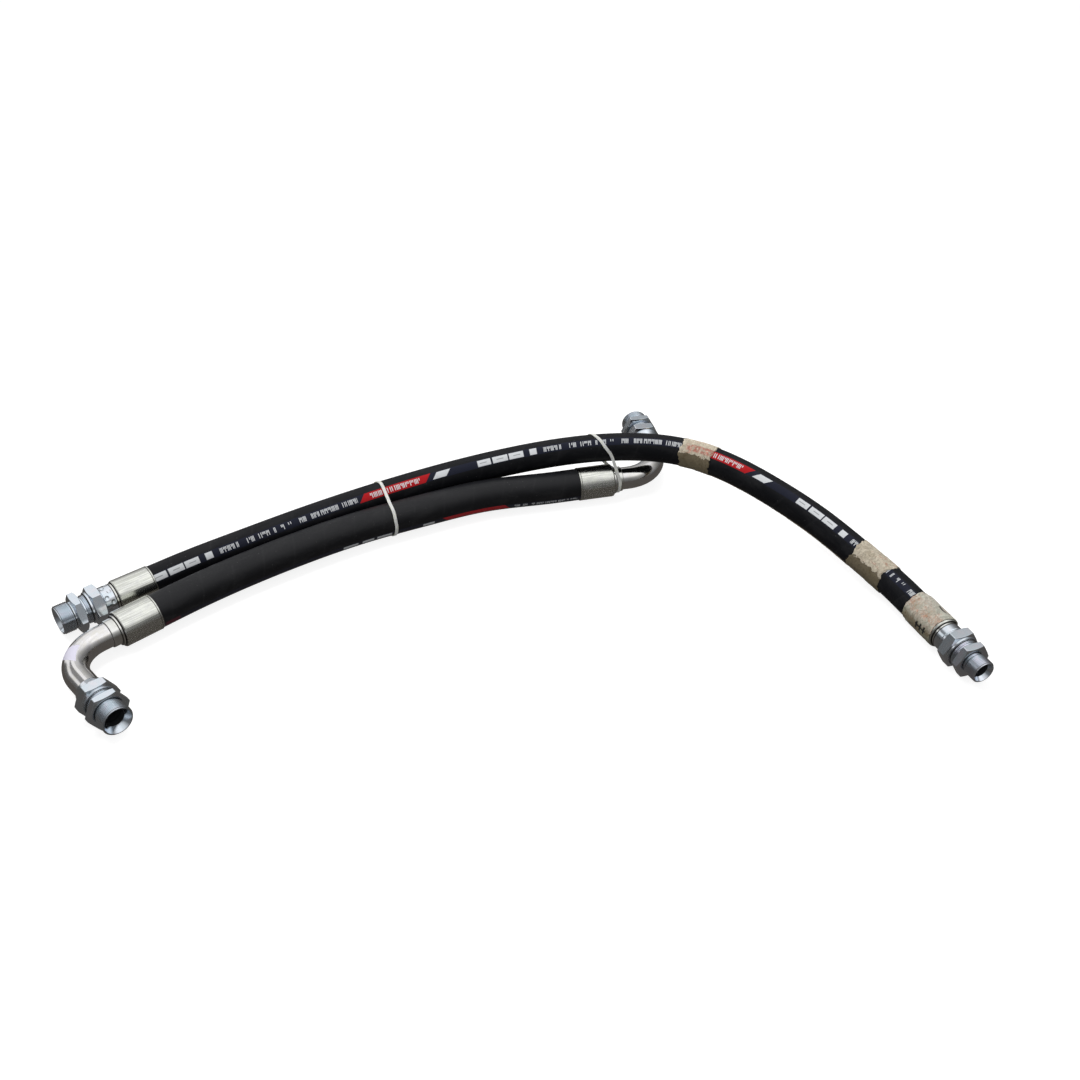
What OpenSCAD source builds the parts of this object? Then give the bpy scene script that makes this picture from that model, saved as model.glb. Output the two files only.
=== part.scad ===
// Pair of large-bore hydraulic hose assemblies, bundled with two cable ties.
// Hose A is the long one with a straight swivel end at each end, hose B the
// short one with a swept 90 degree elbow at each end. Every end carries a
// swivel nut with a 60 degree cone nose, and a male adapter screwed into it.
// The set lies on a flat surface at z = 0. All sizes are in millimetres.

/* [Hoses] */
// Outside diameter of hose A
hose_a_od = 43; // [42:0.5:44]
// Outside diameter of hose B
hose_b_od = 49; // [48:0.5:50]
// Bore of both hoses
hose_bore = 31.8; // [30:0.1:32.5]
// Wall of the rubber inner tube
liner_wall = 2.2; // [1.6:0.1:2.6]
// Thickness of the single wire braid in hose A
braid_a_wall = 1.2; // [0.8:0.1:1.6]
// Thickness of the double wire braid in hose B
braid_b_wall = 3.4; // [2.6:0.1:3.8]
// Sides of the swept hose sections
hose_sides = 12; // [8:2:12]
// Straight run of hose out of each ferrule
straight_run = 45; // [35:1:50]

/* [Ferrules and inserts] */
// Length of a crimped ferrule
ferrule_len = 55; // [50:1:62]
// Wall of a crimped ferrule
ferrule_wall = 1.4; // [1.2:0.1:2.2]
// Thickness of the ferrule's inward lip at its front
lip_len = 6; // [4:0.5:8]
// Radius of the lock groove that the lip grips
lock_r = 17.2; // [16.8:0.1:17.8]
// Pitch of the serrations on the insert
barb_pitch = 8; // [6:1:10]
// Depth of a serration
barb_depth = 0.9; // [0.5:0.1:1.2]
// Bore of the insert
insert_bore = 25.5; // [22:0.5:26]
// Length of insert left bare at the hose mouth
insert_setback = 5; // [3:1:8]
// Width of the dark gap between a ferrule and the collar
collar_gap = 0.4; // [0.3:0.1:1.5]
// Length of the collar in front of a ferrule
collar_len = 2.8; // [2:0.1:5]
// Radius of the collar on hose A
collar_a_r = 20.3; // [19:0.1:21]

/* [Elbows] */
// Radius of the collar on hose B
collar_b_r = 22; // [20.5:0.1:23]
// Length of the tube socket past the collar
socket_len = 12; // [10:0.5:16]
// Wall of the tube socket
socket_wall = 1.8; // [1.2:0.1:2.5]
// Depth of tube brazed into the socket
socket_depth = 9; // [6:0.5:9]
// Outside diameter of the elbow tube
tube_od = 35; // [33:0.5:35.5]
// Wall of the elbow tube
tube_wall = 4; // [3:0.5:4.5]
// Bend radius of the elbow tube at its centre
bend_r = 55; // [50:1:56]
// Straight tube between the socket and the bend
tube_lead = 11.8; // [8:0.2:15]
// Straight tube between the bend and the cone nose
tube_tail = 31; // [24:1:36]
// Length of the cone nose's welded end, behind its flange
nose_back = 8; // [6:0.5:10]

/* [Swivel joint] */
// Radius of the swivel flange behind the cone nose
flange_r = 20.3; // [19.8:0.1:20.6]
// Thickness of the swivel flange
flange_len = 4; // [3:0.5:5]
// Radius of the cone nose at its base
nose_r = 18.4; // [17.5:0.1:19]
// Length of the cone nose
nose_len = 6.6; // [5:0.2:7]
// Bore of the cone nose and the elbow tube end
nose_bore = 27; // [26.6:0.2:28]
// Radius of the swivel neck on hose A
neck_r = 16.6; // [16:0.1:17.2]
// Thickness of the sealing ring's cord
seal_cord = 1.8; // [1.4:0.1:1.9]

/* [Swivel nuts] */
// Hexagon of the large nuts and adapters, across the flats
hex_af = 50; // [48:1:52]
// Outside diameter of the large pipe thread
thread_od = 41.91; // [41:0.01:42.5]
// Flange back to the hexagon's back
nut_hex_start = 0; // [-1:0.5:2]
// Length of the nut's hexagon
nut_hex_len = 16.5; // [14:0.5:18]
// Length of the round collar at the nut's front
nut_front_len = 2.5; // [1:0.5:3]
// Radius that a hexagon's corners are turned down to at its ends
turned_r = 23; // [22.4:0.1:23.6]
// Length of the crimped skirt behind the nut of hose A
skirt_len = 16.5; // [12:0.5:20]
// Gap between the collar and the skirt on hose A
skirt_gap = 0.3; // [0.3:0.1:3]
// Outside radius of the crimped skirt
skirt_r = 20.5; // [19.5:0.1:21.5]
// Number of crimp dents in each row round a skirt
skirt_dents = 8; // [6:1:10]
// Radius of the ball that a crimp dent follows
dent_ball_r = 6; // [5:0.5:8]
// Depth of a crimp dent
dent_depth = 1; // [0.5:0.1:1.4]
// Length of the tapered back of the nut on an elbow
taper_len = 13; // [9:0.5:14]
// Radius of the taper at its small end
taper_r = 19.6; // [19:0.1:21]

/* [Adapters] */
// Flange back to the inner end of an adapter
adapter_start = 5; // [4.5:0.1:6]
// Flange back to the adapter's hexagon
adapter_hex_start = 28; // [26:0.5:30]
// Length of the adapter's hexagon
adapter_hex_len = 12.5; // [11:0.5:14]
// Length of the outer thread with its relief
adapter_thread_len = 21.5; // [18:0.5:24]
// Length of the thread relief beside the hexagon
relief_len = 2.5; // [1.5:0.5:3]
// Depth of the thread relief
relief_depth = 2; // [1.4:0.1:2.2]
// Chamfer at the end of a thread
thread_chamfer = 1.2; // [0.8:0.1:1.6]
// Bore of the large adapters
adapter_bore = 26; // [24:0.5:26]
// Width of the flat rim round an adapter's seat
rim_width = 1.3; // [1:0.1:1.8]
// Hexagon of the reducing adapter, across the flats
reducer_af = 46; // [44:1:48]
// Outside diameter of the reducing adapter's small thread
reducer_thread_od = 33.25; // [33:0.01:33.5]
// Bore of the reducing adapter
reducer_bore = 21; // [19:0.5:22]

/* [Tape] */
// Thickness of the paper tape as wrapped
tape_thick = 0.5; // [0.3:0.1:0.8]
// Width of the first tape wrap on hose A
wrap_mid_len = 52; // [40:1:60]
// Width of the second tape wrap on hose A
wrap_end_len = 62; // [50:1:70]
// Length of hose covered by the tape over the ferrule
sleeve_overlap = 8; // [4:1:12]
// Length of the bare ferrule rim in front of that tape
sleeve_bare = 3; // [2:0.5:5]

/* [Cable ties] */
// Width of a cable tie's strap
tie_width = 4.8; // [3.6:0.1:6]
// Thickness of a strap
tie_thick = 1.2; // [1:0.1:1.4]
// Length of a tie's head, along the strap
tie_head_len = 9; // [7:0.5:10]
// Width of a tie's head, across the strap
tie_head_width = 8; // [6.5:0.5:9]
// Height of a tie's head
tie_head_height = 6; // [4.5:0.5:7]

/* [Fits] */
// Radial clearance in the pipe threads
thread_clear = 0.15; // [0.08:0.01:0.2]
// Radial clearance between a swivel neck and its nut
neck_clear = 0.25; // [0.15:0.01:0.3]
// Axial play between a nut's shoulder and the flange
nut_play = 0.3; // [0.2:0.05:0.4]
// Gap between a cone nose and its seat, square to the cone
seat_clear = 0.3; // [0.2:0.05:0.35]
// Gap between a strap and what it holds
tie_clear = 0.3; // [0.2:0.05:0.4]
// Further gap between the right strap and the socket inside it
tie_slack = 0.7; // [0.4:0.1:1]
// Gap between the tape and the hose or ferrule under it
tape_clear = 0.1; // [0.1:0.05:0.2]
// Gap between a ferrule and the surface it lies on
ground_clear = 0.1; // [0:0.05:0.2]

/* [Hidden] */

$fn = 96;
cone_slope = tan(30);
wrap_mid_start = 3;
wrap_end_start = 5;

// Derived radii
hose_a_r = hose_a_od / 2;
hose_b_r = hose_b_od / 2;
bore_r = hose_bore / 2;
bore_poly_r = bore_r / cos(180 / hose_sides);
liner_r = bore_poly_r + liner_wall;
braid_a_r = liner_r + braid_a_wall;
braid_b_r = liner_r + braid_b_wall;
ferrule_a_r = hose_a_r + ferrule_wall;
ferrule_b_r = hose_b_r + ferrule_wall;
thread_r = thread_od / 2;
reducer_thread_r = reducer_thread_od / 2;
tube_r = tube_od / 2;
tube_bore_r = tube_r - tube_wall;
socket_r = tube_r + socket_wall;
tape_in_r = hose_a_r + tape_clear;
tape_out_r = tape_in_r + tape_thick;

// Derived lengths along an end's axis, from the ferrule's mouth
hose_depth = ferrule_len - lip_len;
collar_start = ferrule_len + collar_gap;
collar_end = collar_start + collar_len;
socket_end = collar_end + socket_len;
tube_start = socket_end - socket_depth;
seat_a_dist = collar_end + skirt_gap + skirt_len;
bend_start = socket_end + tube_lead;
corner_dist = bend_start + bend_r;
outlet_dist = bend_r + tube_tail + nose_back;
seat_gap = seat_clear / cos(30);

// Where each ferrule's mouth lies, and the way its fitting points
axis_a_z = hex_af / 2;
axis_b_z = ferrule_b_r + ground_clear;
mouth_a_left = [-508, -67, axis_a_z];
mouth_a_right = [559, -129, axis_a_z];
mouth_b_left = [-487, -135, axis_b_z];
mouth_b_right = [97, 168, axis_b_z];
angle_a_left = 219;
angle_a_right = -67;
angle_b_left = 222.5;
angle_b_right = 13;

// Routes of the free hoses between their straight runs
free_a = [
    [-398, 6, 31], [-323, 53, 34], [-245, 98, 37], [-163, 137, 42], [-81, 166, 50],
    [3, 186, 60], [89, 197, 70], [175, 199, 75.5], [255, 185, 76], [327, 149, 70],
    [389, 101, 59], [445, 47, 47], [492, -13, 36]
];
free_b = [
    [-388, -50, 26], [-305, 8.5, 26.5], [-221, 59, 26.5], [-133, 101, 26.5], [-41, 138, 26.5]
];

// Spots of each tie on its low bar, then on its high bar: [distance, angle].
// The right tie's low bar is a socket, and counts from the collar in front of it.
tie_left_low = [
    [42, -90], [42, -60], [41, -30], [41, 0], [40, 30], [39, 60], [38, 90], [38, 120]
];
tie_left_high = [[44, 120], [44, 150], [45, 180], [46, 210], [48, 240], [51, 270]];
tie_right_low = [
    [5.8, -20], [4.8, 5], [3.8, 35], [3.3, 65], [3.3, 95], [3.3, 125], [3.3, 155],
    [3.3, 180], [3.8, 200]
];
tie_right_high = [
    [27, 150], [27, 180], [28, 210], [31, 240], [37, 270], [45, 300], [52, 330], [60, 360]
];

// Colours
rubber = [0.07, 0.07, 0.08];
wire = [0.62, 0.62, 0.58];
steel = [0.74, 0.74, 0.71];
zinc = [0.7, 0.72, 0.74];
paper = [0.68, 0.62, 0.52];
nylon = [0.82, 0.83, 0.8];

// Vectors
function heading(angle) = [cos(angle), sin(angle), 0];
function unit(v) = v / norm(v);
function along(mouth, angle, dist) = mouth + dist * heading(angle);
function route(m1, a1, free, m2, a2) = concat(
    [along(m1, a1, hose_depth), along(m1, a1, -straight_run)],
    free,
    [along(m2, a2, -straight_run), along(m2, a2, hose_depth)]
);
route_a = route(mouth_a_left, angle_a_left, free_a, mouth_a_right, angle_a_right);
route_b = route(mouth_b_left, angle_b_left, free_b, mouth_b_right, angle_b_right);

// A ring's frame: where it is, its sideways vector and its upward vector
function tangent(path, i) =
    let(last = len(path) - 1)
    let(before = unit(path[max(i, 1)] - path[max(i, 1) - 1]))
    let(after = unit(path[min(i, last - 1) + 1] - path[min(i, last - 1)]))
    unit(before + after);
function frame(p, t) =
    let(side = unit(cross([0, 0, 1], t)))
    [p, side, cross(t, side)];
function frames(path) = [for (i = [0 : len(path) - 1]) frame(path[i], tangent(path, i))];
function ring_point(f, r, a) = f[0] + r * (cos(a) * f[1] + sin(a) * f[2]);

// A wall swept along frames: an outer and an inner skin of `steps` facets
// from angle a0 to a1, closed by flat ends, and by flat sides if it is open
module wall(fr, r_out, r_in, steps, a0 = 0, a1 = 360) {
    closed = a1 - a0 == 360;
    cols = closed ? steps : steps + 1;
    rows = len(fr);
    skin = rows * cols;
    out_points = [
        for (f = fr) for (k = [0 : cols - 1])
            ring_point(f, r_out, a0 + (a1 - a0) * k / steps)
    ];
    in_points = [
        for (f = fr) for (k = [0 : cols - 1])
            ring_point(f, r_in, a0 + (a1 - a0) * k / steps)
    ];
    function at(row, k, inner) = inner * skin + row * cols + k % cols;
    function two(a, b, c, d) = [[a, c, b], [a, d, c]];
    skins = [
        for (row = [0 : rows - 2]) for (k = [0 : steps - 1]) each concat(
            two(at(row, k, 0), at(row, k + 1, 0), at(row + 1, k + 1, 0), at(row + 1, k, 0)),
            two(at(row, k, 1), at(row + 1, k, 1), at(row + 1, k + 1, 1), at(row, k + 1, 1))
        )
    ];
    ends = [
        for (k = [0 : steps - 1]) each concat(
            two(at(0, k, 1), at(0, k + 1, 1), at(0, k + 1, 0), at(0, k, 0)),
            two(at(rows - 1, k, 0), at(rows - 1, k + 1, 0), at(rows - 1, k + 1, 1), at(rows - 1, k, 1))
        )
    ];
    sides = closed ? [] : [
        for (row = [0 : rows - 2]) each concat(
            two(at(row, 0, 0), at(row + 1, 0, 0), at(row + 1, 0, 1), at(row, 0, 1)),
            two(at(row, steps, 1), at(row + 1, steps, 1), at(row + 1, steps, 0), at(row, steps, 0))
        )
    ];
    polyhedron(concat(out_points, in_points), concat(skins, ends, sides));
}

// Frames of a straight stretch of a route: from `from` mm past point i, `length` long
function stretch(path, i, from, length) =
    let(t = unit(path[i + 1] - path[i]))
    [frame(path[i] + from * t, t), frame(path[i] + (from + length) * t, t)];

// Places: z runs outward along the fitting, x points down
module at_mouth(mouth, angle) {
    translate(mouth) rotate([0, 0, angle]) rotate([0, 90, 0]) children();
}

module at_straight_seat(mouth, angle) {
    at_mouth(mouth, angle) translate([0, 0, seat_a_dist]) children();
}

module at_elbow_seat(mouth, angle) {
    at_mouth(mouth, angle)
        translate([0, outlet_dist, corner_dist]) rotate([-90, 0, 0]) children();
}

// Crimped ferrule: a shell over the hose with a lip that grips the insert
module ferrule(hose_r) {
    outer = hose_r + ferrule_wall;
    edge = 0.8;
    rotate_extrude() polygon([
        [hose_r, 0], [outer - edge, 0], [outer, edge],
        [outer, ferrule_len - 2 * edge], [outer - 2 * edge, ferrule_len],
        [lock_r, ferrule_len], [lock_r, hose_depth], [hose_r, hose_depth]
    ]);
}

// Serrated part of an insert, as the outer half of its profile
function barbs(from, count) = [
    for (i = [0 : count - 1]) each [
        [bore_r - barb_depth, from + i * barb_pitch],
        [bore_r, from + (i + 0.8) * barb_pitch],
        [bore_r, from + (i + 1) * barb_pitch - 0.01]
    ]
];
barb_count = floor((hose_depth - insert_setback - 4) / barb_pitch);
barb_start = hose_depth - 2 - barb_count * barb_pitch;

// Outer profile of the tail, from its tip to the front of its collar
function tail_profile(collar_r) = concat(
    [[insert_bore / 2, insert_setback - 2], [bore_r - 2 * barb_depth, insert_setback - 2]],
    barbs(barb_start, barb_count),
    [
        [bore_r, hose_depth], [lock_r, hose_depth], [lock_r, collar_start],
        [collar_r, collar_start], [collar_r, collar_end]
    ]
);

// Cone nose in front of the swivel flange, with the groove of its seal
module nose_cut() {
    groove = seal_cord + 0.4;
    translate([0, 0, flange_len + 1.6]) rotate_extrude()
        translate([seal_centre_r() - seal_cord / 2 - 0.05, 0]) square([8, groove]);
}

function seal_centre_r() =
    nose_r - (1.6 + (seal_cord + 0.4) / 2) * cone_slope - seal_cord / 2 + 0.15;

function nose_profile(inner_r) = [
    [flange_r, 0], [flange_r, flange_len], [nose_r, flange_len],
    [nose_r - nose_len * cone_slope, flange_len + nose_len],
    [inner_r, flange_len + nose_len]
];

// Straight insert of hose A: serrated tail, collar, swivel neck and cone nose
module straight_insert() {
    difference() {
        rotate_extrude() polygon(concat(
            tail_profile(collar_a_r),
            [[neck_r, collar_end], [neck_r, seat_a_dist]],
            [for (p = nose_profile(insert_bore / 2)) p + [0, seat_a_dist]]
        ));
        translate([0, 0, seat_a_dist]) nose_cut();
    }
}

// Insert of hose B: serrated tail, collar, and a socket for the elbow tube
module elbow_insert() {
    rotate_extrude() polygon(concat(
        tail_profile(collar_b_r),
        [
            [socket_r, collar_end], [socket_r, socket_end - 0.6], [socket_r - 0.6, socket_end],
            [tube_r, socket_end], [tube_r, tube_start], [insert_bore / 2, tube_start]
        ]
    ));
}

// Swept elbow tube, from its socket round the bend to the cone nose
module elbow_tube() {
    module section() {
        difference() {
            circle(tube_r);
            circle(tube_bore_r);
        }
    }
    union() {
        translate([0, 0, tube_start]) linear_extrude(bend_start - tube_start) section();
        translate([0, bend_r, bend_start]) rotate([90, 0, -90])
            rotate_extrude(angle = 90) translate([bend_r, 0]) section();
        translate([0, bend_r, corner_dist]) rotate([-90, 0, 0])
            linear_extrude(tube_tail) section();
    }
}

// Cone nose welded to the end of the elbow tube
module elbow_nose() {
    difference() {
        rotate_extrude() polygon(concat(
            [[nose_bore / 2, -nose_back], [tube_r, -nose_back], [tube_r, 0]],
            nose_profile(nose_bore / 2)
        ));
        nose_cut();
    }
}

// Rubber sealing ring in the groove of a cone nose
module seal() {
    translate([0, 0, flange_len + 1.6 + (seal_cord + 0.4) / 2])
        rotate_extrude() translate([seal_centre_r(), 0]) circle(seal_cord / 2, $fn = 32);
}

// Hexagon bar, flat side down, turned to a round profile between two heights
module turned_bar(af, low, high, profile) {
    intersection() {
        translate([0, 0, low]) rotate([0, 0, 30])
            cylinder(r = af / sqrt(3), h = high - low, $fn = 6);
        rotate_extrude() polygon(profile);
    }
}

// Profile of a hexagon whose corners are turned down to `turned` at both ends
function hex_profile(af, turned, start, length) =
    let(corner = af / sqrt(3) + 0.5)
    [
        [turned, start], [corner, start + corner - turned],
        [corner, start + length - corner + turned], [turned, start + length]
    ];

// The hole through a nut: the neck's bore, the shoulder, then the thread
module nut_bore(neck, back) {
    nut_front = nut_hex_start + nut_hex_len + nut_front_len;
    bore = thread_r + thread_clear;
    rotate_extrude() polygon([
        [0, back - 1], [neck + neck_clear, back - 1], [neck + neck_clear, -nut_play],
        [bore, -nut_play], [bore, nut_front - 1], [bore + 1, nut_front], [bore + 1, nut_front + 1],
        [0, nut_front + 1]
    ]);
}

// Outside of a nut: its turned back, the hexagon and a round collar in front
module nut_body(back_profile, back) {
    nut_front = nut_hex_start + nut_hex_len + nut_front_len;
    turned_bar(hex_af, -back, nut_front, concat(
        [[0, -back]], back_profile,
        hex_profile(hex_af, turned_r, nut_hex_start, nut_hex_len),
        [[turned_r, nut_front], [0, nut_front]]
    ));
}

// Crimped swivel nut of hose A: a hexagon with a skirt closed over the neck
module skirt_nut(dented) {
    difference() {
        nut_body([
            [skirt_r - 1, -skirt_len], [skirt_r, 1 - skirt_len], [skirt_r, nut_hex_start - 1.5]
        ], skirt_len);
        nut_bore(neck_r, -skirt_len);
        if (dented)
            for (row = [0, 1], i = [0 : skirt_dents - 1])
                rotate([0, 0, (i + row / 2) * 360 / skirt_dents])
                    translate([skirt_r + dent_ball_r - dent_depth, 0, -skirt_len * (0.3 + 0.4 * row)])
                        sphere(dent_ball_r);
        if (!dented)
            for (place = [0.35, 0.7])
                translate([0, 0, -skirt_len * place]) rotate_extrude()
                    translate([skirt_r + 0.5, 0]) circle(1, $fn = 32);
    }
}

// Swivel nut of an elbow: a hexagon with a tapered back over the tube
module tapered_nut() {
    difference() {
        nut_body([
            [taper_r - 0.8, -taper_len], [taper_r, 0.8 - taper_len], [turned_r, nut_hex_start - 2]
        ], taper_len);
        nut_bore(tube_r, -taper_len);
    }
}

// Male adapter: a thread into the nut, a hexagon, and a thread to the outside,
// with a 60 degree seat in each end
module adapter(af, outer_thread_r, bore_r, turned) {
    hex_end = adapter_hex_start + adapter_hex_len;
    face = hex_end + adapter_thread_len;
    inner_seat_r = nose_r + seat_gap - (adapter_start - flange_len) * cone_slope;
    outer_seat_r = outer_thread_r - thread_chamfer - rim_width;
    difference() {
        turned_bar(af, adapter_start, face, concat(
            [
                [0, adapter_start], [thread_r - thread_chamfer, adapter_start],
                [thread_r, adapter_start + thread_chamfer],
                [thread_r, adapter_hex_start - relief_len],
                [thread_r - relief_depth, adapter_hex_start - relief_len],
                [thread_r - relief_depth, adapter_hex_start]
            ],
            hex_profile(af, turned, adapter_hex_start, adapter_hex_len),
            [
                [outer_thread_r - relief_depth, hex_end],
                [outer_thread_r - relief_depth, hex_end + relief_len],
                [outer_thread_r, hex_end + relief_len],
                [outer_thread_r, face - thread_chamfer],
                [outer_thread_r - thread_chamfer, face], [0, face]
            ]
        ));
        rotate_extrude() polygon([
            [0, adapter_start - 1], [inner_seat_r + cone_slope, adapter_start - 1],
            [bore_r, adapter_start + (inner_seat_r - bore_r) / cone_slope],
            [bore_r, face - (outer_seat_r - bore_r) / cone_slope],
            [outer_seat_r + cone_slope, face + 1], [0, face + 1]
        ]);
    }
}

module large_adapter() {
    adapter(hex_af, thread_r, adapter_bore / 2, turned_r);
}

module reducing_adapter() {
    adapter(reducer_af, reducer_thread_r, reducer_bore / 2, turned_r * reducer_af / hex_af);
}

// Paper tape wrapped round hose A: `length` long, from `from` mm past point i
module tape_wrap(i, from, length) {
    wall(stretch(route_a, i, from, length), tape_out_r, tape_in_r, hose_sides);
}

// Paper tape left sticking along the underside of hose A between the wraps
module tape_under() {
    first = stretch(route_a, 10, wrap_mid_start, wrap_mid_len)[1];
    last = stretch(route_a, 14, wrap_end_start - 0.2, 1)[0];
    middle = [for (i = [11 : 14]) frame(route_a[i], tangent(route_a, i))];
    facet = 360 / hose_sides;
    lift = 2 * tape_clear;
    wall(concat([first], middle, [last]), tape_out_r + lift, tape_in_r + lift, 3, -4 * facet, -facet);
}

// Paper tape over a ferrule of hose A and the hose just behind it
module tape_sleeve() {
    in_r = ferrule_a_r + tape_clear;
    rotate_extrude() polygon([
        [tape_in_r, -sleeve_overlap], [tape_out_r, -sleeve_overlap],
        [in_r + tape_thick, -1], [in_r + tape_thick, ferrule_len - sleeve_bare],
        [in_r, ferrule_len - sleeve_bare], [in_r, -0.5], [tape_in_r, -0.5]
    ]);
}

// A spot on a strap that lies on a round bar: `spot` is [distance along the
// bar, angle round it], with 0 at the bar's right side and 90 underneath
function strap_spot(base, along, spot, r) =
    let(side = unit(cross([0, 0, 1], along)))
    let(out = -cos(spot[1]) * side - sin(spot[1]) * cross(along, side))
    [base + spot[0] * along + r * out, out];

// Cable tie: a closed band through spots on the low bar, a head on the far
// side, then spots on the high bar
module cable_tie(low, high) {
    from = low[len(low) - 1];
    to = high[0];
    way = to[0] - from[0];
    half = tie_head_len / 2 / norm(way);
    out = unit(from[1] + to[1]);
    head = [for (f = [0.5 - half, 0.5 + half]) [from[0] + f * way, out, tie_head_width, tie_head_height]];
    foot = [for (f = [0.46 - half, 0.54 + half]) [from[0] + f * way, out, tie_width, tie_thick]];
    plain = [for (s = concat(low, high)) [s[0], s[1], tie_width, tie_thick]];
    count = len(low);
    band = [
        for (i = [0 : len(plain) + 3])
            i < count ? plain[i]
            : i == count ? foot[0]
            : i < count + 3 ? head[i - count - 1]
            : i == count + 3 ? foot[1]
            : plain[i - 4]
    ];
    last = len(band);
    corners = [
        for (i = [0 : last - 1])
            let(s = band[i])
            let(run = unit(band[(i + 1) % last][0] - band[(i + last - 1) % last][0]))
            let(wide = unit(cross(s[1], run)) * s[2] / 2)
            each [s[0] - wide, s[0] + wide, s[0] + wide + s[1] * s[3], s[0] - wide + s[1] * s[3]]
    ];
    polyhedron(corners, [
        for (i = [0 : last - 1]) for (k = [0 : 3])
            let(n = (i + 1) % last)
            let(m = (k + 1) % 4)
            each [[4 * i + k, 4 * n + m, 4 * i + m], [4 * i + k, 4 * n + k, 4 * n + m]]
    ]);
}

// One module for each piece of the set
module hose_a_cover() {
    color(rubber) wall(frames(route_a), hose_a_r, braid_a_r, hose_sides);
}

module hose_a_braid() {
    color(wire) wall(frames(route_a), braid_a_r, liner_r, hose_sides);
}

module hose_a_liner() {
    color(rubber) wall(frames(route_a), liner_r, bore_poly_r, hose_sides);
}

module hose_b_cover() {
    color(rubber) wall(frames(route_b), hose_b_r, braid_b_r, hose_sides);
}

module hose_b_braid() {
    color(wire) wall(frames(route_b), braid_b_r, liner_r, hose_sides);
}

module hose_b_liner() {
    color(rubber) wall(frames(route_b), liner_r, bore_poly_r, hose_sides);
}

module a_left_ferrule() {
    color(steel) at_mouth(mouth_a_left, angle_a_left) ferrule(hose_a_r);
}

module a_left_insert() {
    color(steel) at_mouth(mouth_a_left, angle_a_left) straight_insert();
}

module a_left_nut() {
    color(zinc) at_straight_seat(mouth_a_left, angle_a_left) skirt_nut(true);
}

module a_left_seal() {
    color(rubber) at_straight_seat(mouth_a_left, angle_a_left) seal();
}

module a_left_adapter() {
    color(zinc) at_straight_seat(mouth_a_left, angle_a_left) large_adapter();
}

module a_right_ferrule() {
    color(steel) at_mouth(mouth_a_right, angle_a_right) ferrule(hose_a_r);
}

module a_right_insert() {
    color(steel) at_mouth(mouth_a_right, angle_a_right) straight_insert();
}

module a_right_nut() {
    color(zinc) at_straight_seat(mouth_a_right, angle_a_right) skirt_nut(false);
}

module a_right_seal() {
    color(rubber) at_straight_seat(mouth_a_right, angle_a_right) seal();
}

module a_right_adapter() {
    color(zinc) at_straight_seat(mouth_a_right, angle_a_right) reducing_adapter();
}

module b_left_ferrule() {
    color(steel) at_mouth(mouth_b_left, angle_b_left) ferrule(hose_b_r);
}

module b_left_insert() {
    color(steel) at_mouth(mouth_b_left, angle_b_left) elbow_insert();
}

module b_left_elbow() {
    color(steel) at_mouth(mouth_b_left, angle_b_left) elbow_tube();
}

module b_left_nose() {
    color(steel) at_elbow_seat(mouth_b_left, angle_b_left) elbow_nose();
}

module b_left_nut() {
    color(zinc) at_elbow_seat(mouth_b_left, angle_b_left) tapered_nut();
}

module b_left_seal() {
    color(rubber) at_elbow_seat(mouth_b_left, angle_b_left) seal();
}

module b_left_adapter() {
    color(zinc) at_elbow_seat(mouth_b_left, angle_b_left) large_adapter();
}

module b_right_ferrule() {
    color(steel) at_mouth(mouth_b_right, angle_b_right) ferrule(hose_b_r);
}

module b_right_insert() {
    color(steel) at_mouth(mouth_b_right, angle_b_right) elbow_insert();
}

module b_right_elbow() {
    color(steel) at_mouth(mouth_b_right, angle_b_right) elbow_tube();
}

module b_right_nose() {
    color(steel) at_elbow_seat(mouth_b_right, angle_b_right) elbow_nose();
}

module b_right_nut() {
    color(zinc) at_elbow_seat(mouth_b_right, angle_b_right) tapered_nut();
}

module b_right_seal() {
    color(rubber) at_elbow_seat(mouth_b_right, angle_b_right) seal();
}

module b_right_adapter() {
    color(zinc) at_elbow_seat(mouth_b_right, angle_b_right) large_adapter();
}

module tape_wrap_mid() {
    color(paper) tape_wrap(10, wrap_mid_start, wrap_mid_len);
}

module tape_wrap_end() {
    color(paper) tape_wrap(14, wrap_end_start, wrap_end_len);
}

module tape_strip() {
    color(paper) tape_under();
}

module tape_ferrule() {
    color(paper) at_mouth(mouth_a_right, angle_a_right) tape_sleeve();
}

module cable_tie_left() {
    color(nylon) cable_tie(
        [for (s = tie_left_low)
            strap_spot(free_b[2], unit(free_b[3] - free_b[2]), s, hose_b_r + tie_clear)],
        [for (s = tie_left_high)
            strap_spot(free_a[2], unit(free_a[3] - free_a[2]), s, hose_a_r + tie_clear)]
    );
}

module cable_tie_right() {
    color(nylon) cable_tie(
        [for (s = tie_right_low)
            strap_spot(
                mouth_b_right, heading(angle_b_right), [collar_end + s[0], s[1]],
                socket_r + tie_clear + tie_slack
            )],
        [for (s = tie_right_high)
            strap_spot(free_a[6], unit(free_a[7] - free_a[6]), s, hose_a_r + tie_clear)]
    );
}

hose_a_cover();
hose_a_braid();
hose_a_liner();
hose_b_cover();
hose_b_braid();
hose_b_liner();
a_left_ferrule();
a_left_insert();
a_left_nut();
a_left_seal();
a_left_adapter();
a_right_ferrule();
a_right_insert();
a_right_nut();
a_right_seal();
a_right_adapter();
b_left_ferrule();
b_left_insert();
b_left_elbow();
b_left_nose();
b_left_nut();
b_left_seal();
b_left_adapter();
b_right_ferrule();
b_right_insert();
b_right_elbow();
b_right_nose();
b_right_nut();
b_right_seal();
b_right_adapter();
tape_wrap_mid();
tape_wrap_end();
tape_strip();
tape_ferrule();
cable_tie_left();
cable_tie_right();
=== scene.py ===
import math

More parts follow.
